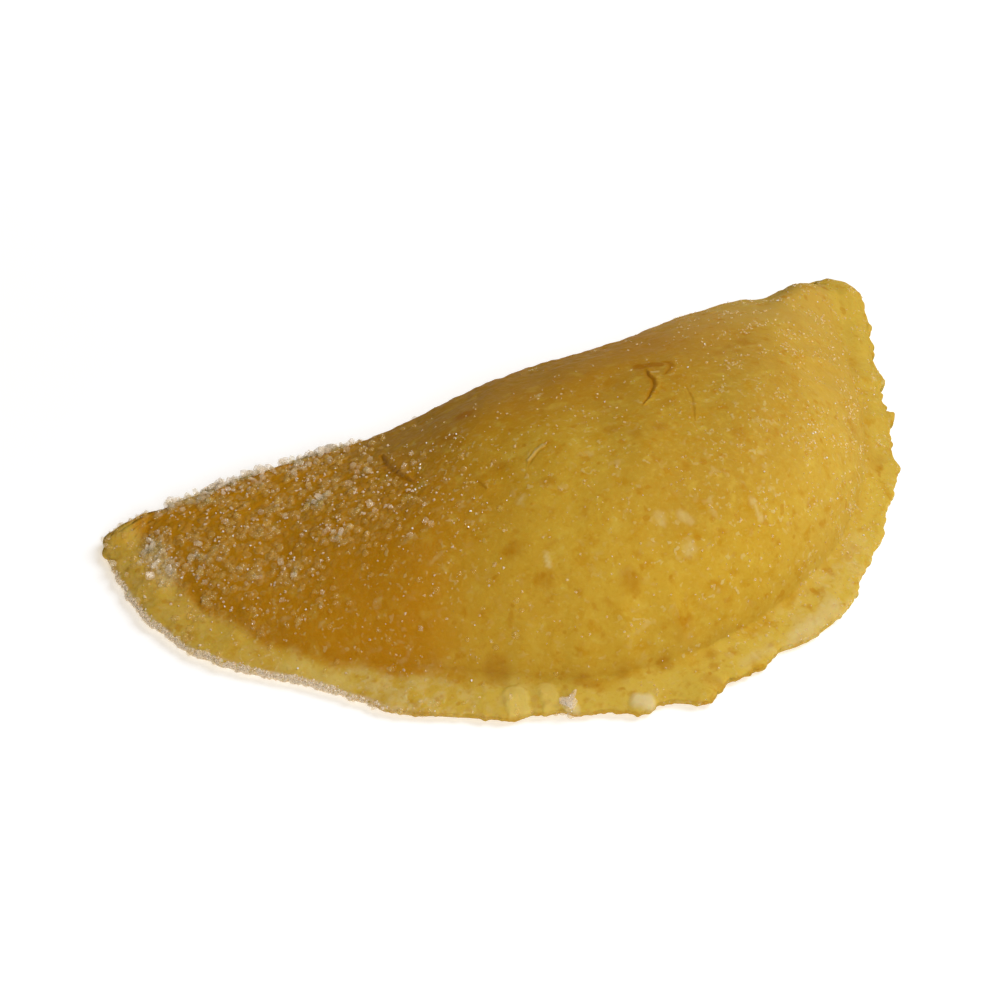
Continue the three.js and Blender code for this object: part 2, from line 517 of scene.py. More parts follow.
class Wiring:
    """Makes and links the nodes of one material."""

    def __init__(self, name: str) -> None:
        """Start a material with its plain shader.

        Args:
            name: The material's name.
        """
        self.material = bpy.data.materials.new(name)
        self.material.use_nodes = True
        self.tree = self.material.node_tree
        self.shader = self.tree.nodes["Principled BSDF"]
        self.place = self.tree.nodes.new("ShaderNodeTexCoord").outputs["Object"]

    def feed(self, socket: Socket, value: object) -> None:
        """Link an output to a socket, or set the socket's own value.

        Args:
            socket: The input to feed.
            value: An output, or a plain value.
        """
        if isinstance(value, Socket):
            self.tree.links.new(value, socket)
        else:
            socket.default_value = value

    def node(self, kind: str, inputs: dict[str | int, object], **settings: object) -> bpy.types.Node:
        """Add a node.

        Args:
            kind: The node's type, without its ShaderNode prefix.
            inputs: What each input gets, an output or a value.
            **settings: The node's own settings.

        Returns:
            The node.
        """
        made = self.tree.nodes.new("ShaderNode" + kind)
        for key, value in settings.items():
            setattr(made, key, value)
        for key, value in inputs.items():
            self.feed(made.inputs[key], value)
        return made

    def attribute(self, name: str) -> Socket:
        """Read a share that is stored on the mesh."""
        return self.node("Attribute", {}, attribute_name=name).outputs["Fac"]

    def grain(self, size: float, detail: float, roughness: float = 0.5) -> Socket:
        """Add a soft random pattern whose features are about size millimetres wide."""
        inputs = {"Vector": self.place, "Scale": 1.0 / (size * MM), "Detail": detail, "Roughness": roughness}
        return self.node("TexNoise", inputs).outputs["Fac"]

    def band(self, value: Socket, start: float, end: float, high: float = 1.0) -> Socket:
        """Turn a value into a share that rises from 0 at start to high at end."""
        inputs = {"Value": value, "From Min": start, "From Max": end, "To Max": high}
        return self.node("MapRange", inputs, interpolation_type="SMOOTHSTEP").outputs["Result"]

    def pattern(self, pattern: Pattern) -> Socket:
        """Add a random pattern as a share."""
        value = self.grain(pattern.size, pattern.detail, pattern.roughness)
        return self.band(value, pattern.start, pattern.end, pattern.high)

    def math(self, operation: str, first: object, second: object) -> Socket:
        """Combine two values."""
        return self.node("Math", {0: first, 1: second}, operation=operation).outputs["Value"]

    def vector(self, operation: str, inputs: dict[str | int, object]) -> Socket:
        """Combine or scale vectors."""
        return self.node("VectorMath", inputs, operation=operation).outputs["Vector"]

    def times(self, first: object, second: object) -> Socket:
        """Multiply two values."""
        return self.math("MULTIPLY", first, second)

    def mix(self, share: object, first: object, second: object) -> Socket:
        """Mix two colours.

        Args:
            share: The share of the second.
            first: The colour at share 0.
            second: The colour at share 1.

        Returns:
            The mixed colour.
        """
        made = self.node("Mix", {"Factor": share}, data_type="RGBA")
        colours = [socket for socket in made.inputs if socket.type == "RGBA"]
        self.feed(colours[0], first)
        self.feed(colours[1], second)
        return next(socket for socket in made.outputs if socket.type == "RGBA")

    def pebbles(self, pebbles: Pebbles) -> tuple[Socket, Socket]:
        """Add close-packed rounded lumps.

        Args:
            pebbles: Their size and form.

        Returns:
            The height of the lumps, and the thin painted highlights round their edges.
        """
        place = self.pushed(pebbles.pushed_over, pebbles.pushed_by)
        cells = self.node("TexVoronoi", {"Vector": place, "Scale": 1.0 / (pebbles.size * MM)})
        distance = cells.outputs["Distance"]
        glint_rings = self.times(self.band(distance, *pebbles.glint_ring_in), self.band(distance, *pebbles.glint_ring_out))
        return self.band(distance, pebbles.foot, pebbles.middle), glint_rings

    def pushed(self, size: float, reach: float) -> Socket:
        """Give the place, pushed about so that patterns lose their even shapes.

        Args:
            size: Over how many millimetres the push changes.
            reach: How many millimetres it goes.

        Returns:
            The pushed place.
        """
        chance = self.node("TexNoise", {"Vector": self.place, "Scale": 1.0 / (size * MM)}).outputs["Color"]
        centred = self.vector("SUBTRACT", {0: chance, 1: (0.5, 0.5, 0.5)})
        push = self.vector("SCALE", {0: centred, "Scale": 2.0 * reach * MM})
        return self.vector("ADD", {0: self.place, 1: push})


@dataclass(frozen=True)
class DoughFinish:
    """The look of the baked dough: golden, amber under the sugar crust, and paler on the sealed rim."""

    golden: Colour = (0.50, 0.297, 0.026, 1.0)
    # amber: brown dough at the thin end and painted shade there, on the fold's back and in the crease.
    amber: Colour = (0.43, 0.182, 0.005, 1.0)
    pale: Colour = (0.56, 0.378, 0.052, 1.0)
    orange: Colour = (0.40, 0.165, 0.003, 1.0)
    whitish: Colour = (0.62, 0.49, 0.22, 1.0)
    # The colour of the painted shade.
    shade: Colour = (0.34, 0.172, 0.018, 1.0)
    rust: Colour = (0.35, 0.135, 0.002, 1.0)
    frosted: Colour = (0.66, 0.53, 0.34, 1.0)
    lemon: Colour = (0.63, 0.462, 0.11, 1.0)
    ochre: Colour = (0.43, 0.205, 0.004, 1.0)
    cloud_size: float = 9.0
    cloud_detail: float = 3.0
    cloud_reach: float = 0.5
    rim_band: tuple[float, float, float] = (0.1, 1.0, 0.85)
    milk: Pattern = Pattern(1.6, 3.0, 0.40, 0.60)
    dark_blotches: Pattern = Pattern(2.4, 3.0, 0.52, 0.72, 0.60, 0.55)
    dark_crumb: Pattern = Pattern(0.75, 2.0, 0.50, 0.76, 0.35, 0.6)
    light_blotches: Pattern = Pattern(2.4, 3.0, 0.47, 0.28, 0.55, 0.55)
    light_crumb: Pattern = Pattern(0.75, 2.0, 0.50, 0.24, 0.35, 0.6)
    fleck_clusters: Pattern = Pattern(5.5, 2.0, 0.40, 0.62, 0.75)
    flecks_everywhere: float = 0.25
    small_flecks: Pattern = Pattern(0.8, 1.0, 0.60, 0.72)
    large_flecks: Pattern = Pattern(1.5, 1.5, 0.58, 0.76, 0.7)
    fleck_strength: float = 0.42
    flecks_lost_in_crust: float = 0.7
    orange_spots: Pattern = Pattern(2.1, 2.5, 0.58, 0.76, 0.55)
    orange_dots: Pattern = Pattern(1.7, 1.0, 0.67, 0.75, 0.5)
    frost: Pattern = Pattern(0.6, 3.0, 0.30, 0.55)
    pebbles: Pebbles = Pebbles()
    pebble_strength: float = 0.10
    # Painted highlight round the crust's lumps, for the bright edges of clear sugar beads.
    glint_ring_patches: Pattern = Pattern(3.4, 3.0, 0.42, 0.62)
    glint_ring_strength: float = 0.20
    roughness: float = 0.39
    dullness: Pattern = Pattern(0.9, 3.0, 0.25, 0.75, 0.22)
    crust_gloss: float = 0.18
    bump_size: float = 0.6
    bump_detail: float = 3.0
    bump_height: float = 0.09
    bump_strength: float = 0.8
    fleck_height: float = 0.6
    pebble_height: float = 1.2
    subsurface: float = 0.25
    subsurface_depth: float = 1.2
    subsurface_radius: tuple[float, float, float] = (1.0, 0.45, 0.12)
    specular: float = 0.01

    def tones(self, wires: Wiring) -> Socket:
        """Lay the broad colours: golden to amber, the paler rim, painted sheen and shade, and soft mottling.

        Args:
            wires: The material's wiring.

        Returns:
            The colour.
        """
        cloud = wires.math("SUBTRACT", wires.grain(self.cloud_size, self.cloud_detail), 0.5)
        cloud = wires.times(cloud, self.cloud_reach)
        # Amber: brown dough, and painted shade at the thin end, on the fold's back and in the crease.
        amber_share = wires.math("ADD", wires.attribute("browned_and_shade"), cloud)
        colour = wires.mix(wires.band(amber_share, 0.0, 1.0), self.golden, self.amber)
        rim_share = wires.math("ADD", wires.attribute("lemon"), cloud)
        colour = wires.mix(wires.band(rim_share, *self.rim_band), colour, self.pale)
        milky = wires.times(wires.attribute("milky"), wires.pattern(self.milk))
        colour = wires.mix(milky, colour, self.whitish)
        # Painted sheen: an even pale wash over the full end of the dome.
        colour = wires.mix(wires.attribute("painted_sheen"), colour, self.whitish)
        # Painted shade: the shade colour over the dome's top, the fold, the full end's corner and the front
        # wall.
        colour = wires.mix(wires.attribute("painted_shade"), colour, self.shade)
        mottled = wires.attribute("mottled")
        darker = wires.math("MAXIMUM", wires.pattern(self.dark_blotches), wires.pattern(self.dark_crumb))
        lighter = wires.math("MAXIMUM", wires.pattern(self.light_blotches), wires.pattern(self.light_crumb))
        colour = wires.mix(wires.times(mottled, darker), colour, self.ochre)
        return wires.mix(wires.times(mottled, lighter), colour, self.pale)

    def flecks(self, wires: Wiring, crust: Socket) -> Socket:
        """Scatter uneven pale flecks in loose clusters, fewer in the crust.

        Args:
            wires: The material's wiring.
            crust: The share of the sugar crust.

        Returns:
            The share of the flecks.
        """
        clusters = wires.math("ADD", wires.pattern(self.fleck_clusters), self.flecks_everywhere)
        either = wires.math("MAXIMUM", wires.pattern(self.small_flecks), wires.pattern(self.large_flecks))
        open_skin = wires.math("SUBTRACT", 1.0, wires.times(crust, self.flecks_lost_in_crust))
        return wires.times(wires.times(clusters, either), wires.times(open_skin, wires.attribute("flecked")))

    def spots(self, wires: Wiring, colour: Socket, flecks: Socket) -> Socket:
        """Lay the uneven orange spots, the pale flecks and the marks over the broad colours.

        Args:
            wires: The material's wiring.
            colour: The broad colours.
            flecks: The share of the flecks.

        Returns:
            The colour.
        """
        colour = wires.mix(wires.pattern(self.orange_spots), colour, self.orange)
        colour = wires.mix(wires.times(flecks, self.fleck_strength), colour, self.whitish)
        colour = wires.mix(wires.pattern(self.orange_dots), colour, self.orange)
        colour = wires.mix(wires.attribute("facet"), colour, self.lemon)
        colour = wires.mix(wires.attribute("stain"), colour, self.rust)
        colour = wires.mix(wires.attribute("pale"), colour, self.whitish)
        frost = wires.times(wires.attribute("frost"), wires.pattern(self.frost))
        return wires.mix(frost, colour, self.frosted)

    def material(self) -> bpy.types.Material:
        """Build the material.

        Returns:
            The material, which reads the shares stored on the dough's mesh.
        """
        wires = Wiring("golden_dough")
        shader = wires.shader
        crust = wires.attribute("crust")
        lumps, glint_rings = wires.pebbles(self.pebbles)
        lumps = wires.times(crust, lumps)
        glint_rings = wires.times(wires.times(crust, wires.pattern(self.glint_ring_patches)), glint_rings)
        flecks = self.flecks(wires, crust)
        colour = self.spots(wires, self.tones(wires), flecks)
        colour = wires.mix(wires.times(lumps, self.pebble_strength), colour, self.whitish)
        # Painted highlight: thin pale edges round the crust's lumps, for the bright rims of clear sugar
        # beads.
        colour = wires.mix(wires.times(glint_rings, self.glint_ring_strength), colour, self.whitish)
        wires.feed(shader.inputs["Base Color"], colour)

        dull = wires.math("SUBTRACT", wires.pattern(self.dullness), wires.times(crust, self.crust_gloss))
        wires.feed(shader.inputs["Roughness"], wires.math("ADD", dull, self.roughness))
        height = wires.grain(self.bump_size, self.bump_detail)
        height = wires.math("ADD", height, wires.times(flecks, self.fleck_height))
        height = wires.math("ADD", height, wires.times(lumps, self.pebble_height))
        inputs = {"Strength": self.bump_strength, "Distance": self.bump_height * MM, "Height": height}
        wires.feed(shader.inputs["Normal"], wires.node("Bump", inputs).outputs["Normal"])
        shader.inputs["Subsurface Weight"].default_value = self.subsurface
        shader.inputs["Subsurface Radius"].default_value = self.subsurface_radius
        shader.inputs["Subsurface Scale"].default_value = self.subsurface_depth * MM
        shader.inputs["Specular IOR Level"].default_value = self.specular
        return wires.material


@dataclass(frozen=True)
class Zones:
    """Where the dough is sugary, brown, pale or rim, and where shade and sheen are painted, as shares 0 to 1.
    """

    layout: Layout
    crust_line: float = -19.5
    crust_slant: float = -0.10
    crust_soft: float = 17.0
    crust_sharpness: float = 1.5
    crust_in_front: float = 0.10
    crust_by_fold: Patch = Patch(0.90, (Fade(By.Y, -32.0, -15.0),))
    crust_lost_on_rim: float = 0.6
    frosted: Patch = Patch(
        1.0, (Fade(By.ANGLE, 182.0, 188.0), Fade(By.ANGLE, 238.0, 216.0), Fade(By.UP, 0.95, 0.60))
    )
    brown_line: float = -2.0
    brown_slant: float = 0.42
    brown_soft: float = 40.0
    brown_lost_on_belly: float = 0.4
    # Amber as painted shade: on the fold's back, and in the crease at the foot of the dome.
    amber_shade_on_back: Patch = Patch(0.85, (Fade(By.Y, -34.0, -8.0), Fade(By.X, 56.0, 14.0)))
    amber_shade_in_crease: Patch = Patch(0.32, (Fade(By.X, 10.0, -30.0),))
    valley_width: float = 2.6
    # Painted shade: the shade colour laid on the dome's top, the full end's corner, the fold's back and the
    # steep front wall.
    painted_shade_top: Patch = Patch(0.36, (Fade(By.Z, 12.0, 18.0), Fade(By.X, -8.0, 8.0)))
    painted_shade_corner: Patch = Patch(0.20, (Fade(By.X, 34.0, 44.0), Fade(By.Y, -42.0, -30.0)))
    painted_shade_fold: Patch = Patch(
        0.75, (Fade(By.Y, -19.0, -6.0), Fade(By.X, -30.0, -16.0), Fade(By.X, 32.0, 8.0))
    )
    painted_shade_edge: Patch = Patch(
        0.45, (Fade(By.UP, 0.6, 0.2), Fade(By.ANGLE, 224.0, 232.0), Fade(By.ANGLE, 290.0, 276.0))
    )
    belly: Patch = Patch(1.0, (Fade(By.X, -32.0, -20.0), Fade(By.X, 2.0, -10.0), Fade(By.Y, -28.0, -38.0)))
    fold: Patch = Patch(1.0, (Fade(By.Y, -14.0, -6.0),))
    flecks_lost_away: Patch = Patch(0.75, (Fade(By.AWAY, 0.0, 0.45),))
    flecks_lost_on_belly: float = 0.5
    flecks_lost_on_fold: float = 0.75
    mottling_lost_away: Patch = Patch(0.55, (Fade(By.AWAY, 0.15, 0.6),))
    mottling_lost_thin_end: Patch = Patch(0.6, (Fade(By.X, -14.0, -30.0),))
    mottling_lost_on_fold: float = 0.4
    powder_lost_on_fold: Patch = Patch(0.7, (Fade(By.Y, -22.0, -8.0), Fade(By.X, 38.0, 16.0)))
    powder_lost_on_belly: float = 0.6
    powder_full_end: Patch = Patch(2.2, (Fade(By.X, 16.0, 30.0),))
    lemon_lost_thin_end: Patch = Patch(0.25, (Fade(By.X, -18.0, -40.0),))
    milky_thin_end: Patch = Patch(0.10, (Fade(By.X, 10.0, -24.0),))
    milky_spot: Swell = Swell(-34.0, 9.0, 0.28)
    milky_front: Patch = Patch(0.24, (Fade(By.X, 10.0, 18.0), Fade(By.Y, -42.0, -51.0)))
    # Painted sheen: an even pale wash on the full end of the dome, a little more by the fold.
    painted_sheen_everywhere: float = 0.06
    painted_sheen_by_fold: Patch = Patch(0.07, (Fade(By.Y, -14.0, -6.0),))
    painted_sheen_full_end: Patch = Patch(1.0, (Fade(By.X, 14.0, 30.0),))
    rim_band: tuple[float, float] = (-1.2, 2.0)
    rim_waves: float = 0.9
    rim_wave_x: float = 0.55
    rim_wave_y: float = 0.4
    rim_wave_shift: float = 1.0
    clear_of_crease: float = 1.0

    def crust(self, points: np.ndarray) -> np.ndarray:
        """Give the share of the sugar crust, which is thickest on the thin end and near the fold.

        Args:
            points: Places in the plan.

        Returns:
            The share at each place.
        """
        across = points[:, 0] - self.crust_line - self.crust_slant * points[:, 1]
        slope = smoothstep(across, self.crust_soft / 2, -self.crust_soft / 2) ** self.crust_sharpness
        depth = self.crust_in_front + self.crust_by_fold.share(points)
        return slope * depth * (1.0 - self.crust_lost_on_rim * self.rim(points))

    def frost(self, points: np.ndarray, normals: np.ndarray) -> np.ndarray:
        """Give the share of the frosty sugar, which the cut edge of the thin end wears."""
        return self.frosted.share(points, normals) * self.outside(points)

    def browned_and_shade(self, points: np.ndarray) -> np.ndarray:
        """Give the share of amber: the thin end, and as painted shade the fold's back and the crease.

        Args:
            points: Places in the plan.

        Returns:
            The share at each place.
        """
        # Amber at the thin end is brown dough and painted shade; on the fold's back and in the crease it is
        # painted shade.
        across = points[:, 0] - self.brown_line - self.brown_slant * points[:, 1]
        slope = smoothstep(across, self.brown_soft / 2, -self.brown_soft / 2)
        slope = slope * (1.0 - self.brown_lost_on_belly * self.belly.share(points))
        past = self.layout.moon.past_crease(points[:, 0], points[:, 1])
        valley = self.amber_shade_in_crease.share(points) * bump(past, -self.valley_width / 2, self.valley_width)
        return np.maximum(np.maximum(slope, self.amber_shade_on_back.share(points)), valley)

    def painted_shade(self, points: np.ndarray, normals: np.ndarray) -> np.ndarray:
        """Give the share of painted shade: the dome's top, the fold, the full end's corner and the front
        wall.

        Args:
            points: Places in the plan.
            normals: The skin's directions there.

        Returns:
            The share at each place.
        """
        edge = self.painted_shade_edge.share(points, normals) * self.rim(points)
        others = [part.share(points) for part in (self.painted_shade_top, self.painted_shade_fold, self.painted_shade_corner)]
        return np.maximum.reduce([*others, edge])

    def flecked(self, points: np.ndarray, normals: np.ndarray) -> np.ndarray:
        """Give the share of the pale flecks, which the back and the far side of the dome hardly have.

        Args:
            points: Places in the plan.
            normals: The skin's directions there.

        Returns:
            The share at each place.
        """
        away = 1.0 - self.flecks_lost_away.share(points, normals)
        belly = 1.0 - self.flecks_lost_on_belly * self.belly.share(points)
        return away * belly * (1.0 - self.flecks_lost_on_fold * self.fold.share(points))

    def mottled(self, points: np.ndarray, normals: np.ndarray) -> np.ndarray:
        """Give the share of the mottling, which the browned end and the far side of the dome hardly have.

        Args:
            points: Places in the plan.
            normals: The skin's directions there.

        Returns:
            The share at each place.
        """
        away = 1.0 - self.mottling_lost_away.share(points, normals)
        thin_end = 1.0 - self.mottling_lost_thin_end.share(points) * (1.0 - self.rim(points))
        return away * thin_end * (1.0 - self.mottling_lost_on_fold * self.fold.share(points))

    def powder(self, points: np.ndarray) -> np.ndarray:
        """Give how much fine sugar lies on the open dough: less on the fold, more on the full end.

        Args:
            points: Places in the plan.

        Returns:
            The amount at each place.
        """
        fold = 1.0 - self.powder_lost_on_fold.share(points)
        belly = 1.0 - self.powder_lost_on_belly * self.belly.share(points)
        return fold * belly * (1.0 + self.powder_full_end.share(points))

    def lemon(self, points: np.ndarray) -> np.ndarray:
        """Give the share of the paler yellow, which the rim has, less so at the thin end."""
        return self.rim(points) * (1.0 - self.lemon_lost_thin_end.share(points))

    def milky(self, points: np.ndarray) -> np.ndarray:
        """Give the share of the milky patches, which the rim has."""
        thin_end = self.milky_thin_end.share(points) + HalfMoon.swell((self.milky_spot,), points[:, 0])
        return np.maximum(thin_end, self.milky_front.share(points)) * self.rim(points)

    def painted_sheen(self, points: np.ndarray) -> np.ndarray:
        """Give the share of the painted sheen: an even pale wash over the full end of the dome."""
        share = self.painted_sheen_everywhere + self.painted_sheen_by_fold.share(points)
        return share * self.painted_sheen_full_end.share(points) * (1.0 - self.rim(points))

    def rim(self, points: np.ndarray) -> np.ndarray:
        """Give the share of the sealed rim, which fades in over a wavy line at the foot of the dome.

        Args:
            points: Places in the plan.

        Returns:
            The share at each place.
        """
        past = self.layout.moon.past_crease(points[:, 0], points[:, 1])
        waves = np.sin(points[:, 0] * self.rim_wave_x + self.rim_wave_shift)
        waves = waves * np.cos(points[:, 1] * self.rim_wave_y)
        return smoothstep(past + self.rim_waves * waves, *self.rim_band)

    def outside(self, points: np.ndarray) -> np.ndarray:
        """Tell which places lie on the rim, clear of the crease."""
        return self.layout.moon.past_crease(points[:, 0], points[:, 1]) > self.clear_of_crease


@dataclass(frozen=True)
class Relief:
    """The fine unevenness of the dough's skin."""

    zones: Zones
    waves: tuple[tuple[float, float], ...] = ((7.0, 0.18), (2.8, 0.08), (1.3, 0.04))
    crust_grain: float = 1.5
    crust_height: float = 0.22
    rim_grain: float = 3.0
    rim_height: float = 0.20
    fold_waves: tuple[tuple[float, float], ...] = ((2.2, 0.14), (1.0, 0.13))
    fold: Patch = Patch(1.0, (Fade(By.Y, -10.0, -2.0),))
    wall: Patch = Patch(1.0, (Fade(By.UP, 0.9, 0.2),))
    wall_depth: tuple[float, float] = (2.2, 1.3)
    tooth_slant: float = 0.3
    teeth: tuple[Swell, ...] = ()
    torn: tuple[tuple[float, float], ...] = ((1.6, 0.30), (0.85, 0.26), (0.45, 0.12))

    @staticmethod
    def layers(points: np.ndarray, waves: tuple[tuple[float, float], ...], first: Noise) -> np.ndarray:
        """Sum waves of several sizes and heights, each read from a layer of its own."""
        return sum(high * rough(points, size, first + number) for number, (size, high) in enumerate(waves))

    def height(self, points: np.ndarray, normals: np.ndarray) -> np.ndarray:
        """Give how far the skin stands out at each point.

        Args:
            points: Places in the plan.
            normals: The skin's directions there.

        Returns:
            The relief, in millimetres.
        """
        rim = self.zones.rim(points)
        out = self.layers(points, self.waves, Noise.WAVES)
        out += self.crust_height * self.zones.crust(points) * rough(points, self.crust_grain, Noise.CRUST)
        out += self.rim_height * rim * rough(points, self.rim_grain, Noise.RIM)
        out += self.fold.share(points) * self.layers(points, self.fold_waves, Noise.FOLD)
        moon = self.zones.layout.moon
        cut = self.wall.share(points, normals) * rim
        cut = cut * smoothstep(moon.inside_edge(points[:, 0], points[:, 1]), *self.wall_depth)
        slanted = points * np.array([1.0, 1.0, self.tooth_slant])
        out += cut * self.layers(slanted, self.torn, Noise.TORN)
        return out + cut * moon.swell(self.teeth, moon.angle_about(points[:, 0], points[:, 1]))


@dataclass(frozen=True)
class Dough:
    """The folded and sealed dough, as one closed skin with its relief."""

    layout: Layout
    zones: Zones
    relief: Relief
    cracks: tuple[Crack, ...]
    marks: tuple[Mark, ...]
    finish: DoughFinish
    name: str = "folded_dough"
    subdivisions: int = 7
    top_share: float = 0.955
    spoke_steps: int = 720
    way_steps: int = 400
    crack_zone: float = 1.6
    crease_zone: float = 6.0
    crease_front: Patch = Patch(1.0, (Fade(By.Y, -1.0, -6.0),))
    crease_inside: tuple[float, float] = (0.8, 1.8)
    crease_rounds: int = 60
    full_end_zone: float = 14.0
    full_end: Patch = Patch(1.0, (Fade(By.X, 28.0, 43.0),))
    full_end_inside: tuple[float, float] = (1.2, 2.4)
    full_end_rounds: int = 190
    zone_core: float = 0.55
    edge_zone: float = 3.2
    edge_core: float = 0.75
    edge_rounds: int = 10
    edge_drop: float = 0.45
    edge_dropped_from: float = 0.5
    fine_edge: float = 0.9
    edge_from: float = 50.0
    surely_rim: float = 0.9
    top_side: tuple[float, float] = (0.5, 0.75)
    ramp_zone: Patch = Patch(0.85, (Fade(By.ANGLE, 314.0, 340.0), Fade(By.Y, -0.5, -5.0)))
    ramp_reach: float = 9.0
    ramp_end: float = 0.4
    ramp_foot: float = 2.1
    ramp_above: float = 0.9
    ramp_curve: float = 1.1
    sag_zone: Patch = Patch(3.0, (Fade(By.Y, -18.0, -3.0),))
    sag_at: float = 50.4
    sag_spread: float = 5.0
    underside: float = 0.3
    marks_fade: tuple[float, float] = (0.5, 1.7)

    def ways(self, direction: np.ndarray) -> tuple[np.ndarray, np.ndarray]:
        """Turn directions from the middle of a ball into places on the skin, evenly spread along each spoke.

        Args:
            direction: Unit vectors, one row each.

        Returns:
            The spoke's angle and the way along the section, for HalfMoon.section().
        """
        moon = self.layout.moon
        spoke = np.arctan2(direction[:, 1], direction[:, 0])
        out = np.sqrt(np.clip((1.0 - direction[:, 2]) / 2.0, 0.0, 1.0))

        angles = np.linspace(-math.pi, math.pi, self.spoke_steps + 1)
        way = np.linspace(0.0, 2.0, self.way_steps)
        grid = moon.section(np.repeat(angles, way.size), np.tile(way, angles.size))
        grid = grid.reshape(angles.size, way.size, 3)
        steps = np.linalg.norm(np.diff(grid, axis=1), axis=-1)
        length = np.concatenate([np.zeros((angles.size, 1)), np.cumsum(steps, axis=1)], axis=1)
        even = np.linspace(0.0, 1.0, self.way_steps)
        table = np.stack([np.interp(even, row / row[-1], way) for row in length])

        across = (spoke + math.pi) / (2.0 * math.pi) * self.spoke_steps
        down = np.clip(out / self.top_share, 0.0, 1.0) * (self.way_steps - 1)
        i = np.clip(across.astype(int), 0, self.spoke_steps - 1)
        j = np.clip(down.astype(int), 0, self.way_steps - 2)
        u, v = across - i, down - j
        top = (
            (1 - u) * ((1 - v) * table[i, j] + v * table[i, j + 1])
            + u * ((1 - v) * table[i + 1, j] + v * table[i + 1, j + 1])
        )
        under = 2.0 + (out - self.top_share) / (1.0 - self.top_share)
        return spoke, np.where(out > self.top_share, under, top)

    def skin(self, ball: np.ndarray) -> np.ndarray:
        """Lay the points of a ball over the dough.

        Args:
            ball: Points round the origin, one row each.

        Returns:
            The points of the plan that they go to.
        """
        direction = ball / np.linalg.norm(ball, axis=1, keepdims=True)
        return self.layout.moon.section(*self.ways(direction))

    def refine(self, bm: bmesh.types.BMesh, rounds: int = 2) -> None:
        """Divide the faces finer along the cracks and round the edge.

        Args:
            bm: The ball that becomes the dough.
            rounds: How many times the cracks are divided.
        """
        for step in range(rounds):
            middles = np.array([(edge.verts[0].co + edge.verts[1].co) / 2 for edge in bm.edges])
            points = self.skin(middles)
            x, y, z = points.T
            near = np.zeros(len(points), bool)
            for crack in self.cracks:
                near |= crack.reach(x, y)[0] < self.crack_zone / (step + 1) + crack.width
            edge = self.zones.rim(points) > self.surely_rim
            edge &= np.hypot(x, np.minimum(y, 0.0)) > self.edge_from
            if step > 0:
                edge &= self.layout.moon.inside_edge(x, y) < self.fine_edge
            near |= edge
            near &= z > self.underside
            chosen = [edge for edge, wanted in zip(bm.edges, near) if wanted]
            bmesh.ops.subdivide_edges(bm, edges=chosen, cuts=1, use_grid_fill=True)
            bmesh.ops.triangulate(bm, faces=[face for face in bm.faces if len(face.verts) > 3])

    def soften(self, bm: bmesh.types.BMesh, share: np.ndarray, rounds: int) -> None:
        """Smooth the height of a part of the skin, less and less towards the border of that part.

        Args:
            bm: The dough.
            share: How much each point is smoothed.
            rounds: How many times.
        """
        chosen = [(vert, part, vert.co.z) for vert, part in zip(bm.verts, share) if part > 0.0]
        verts = [vert for vert, _part, _height in chosen]
        for _ in range(rounds):
            bmesh.ops.smooth_vert(
                bm, verts=verts, factor=0.5, use_axis_x=False, use_axis_y=False, use_axis_z=True
            )
        for vert, part, height in chosen:
            vert.co.z = height + part * (vert.co.z - height)

    def ramp(self, points: np.ndarray) -> np.ndarray:
        """Give the extra height that lets the dome run out to the edge of the full end without a crease.

        Args:
            points: The plain skin.

        Returns:
            The height to add at each point.
        """
        moon = self.layout.moon
        x, y, z = points.T
        radius = np.maximum(np.hypot(x, np.minimum(y, 0.0)), 1.0)
        start = moon.crease_at(x, y) - self.ramp_reach
        end = radius + moon.inside_edge(x, y) - self.ramp_end
        run = np.clip((radius - start) / np.maximum(end - start, 1.0), 0.0, 1.0)
        from_x, from_y = x * start / radius, np.where(y < 0.0, y * start / radius, y)
        share = moon.dome_share(from_x, from_y)
        top = moon.edge_thickness(from_x, share) + moon.dome_rise_at(from_x, from_y, share)
        slope = self.ramp_foot + (top - self.ramp_foot) * (1.0 - run) ** self.ramp_curve
        above = z > self.ramp_foot * self.ramp_above
        return self.ramp_zone.share(points) * above * (run > 0.0) * np.maximum(slope - z, 0.0)

    def sag(self, points: np.ndarray) -> np.ndarray:
        """Give how far the fold sinks where the filling ends, before the full end's corner."""
        near = self.sag_zone.share(points) * bump(points[:, 0], self.sag_at, self.sag_spread)
        return near * smoothstep(points[:, 2] / self.layout.moon.rim_thickness, 1.0, 2.0)

    def drop(self, points: np.ndarray) -> np.ndarray:
        """Give how far the rim is pressed down towards its edge.

        Args:
            points: The plain skin.

        Returns:
            The height to take away at each point.
        """
        moon = self.layout.moon
        inside = moon.inside_edge(points[:, 0], points[:, 1])
        sloping = smoothstep(inside, self.edge_zone, self.edge_dropped_from)
        above = np.clip(points[:, 2] / moon.rim_thickness, 0.0, 1.0)
        return self.edge_drop * sloping * self.zones.rim(points) * above**2

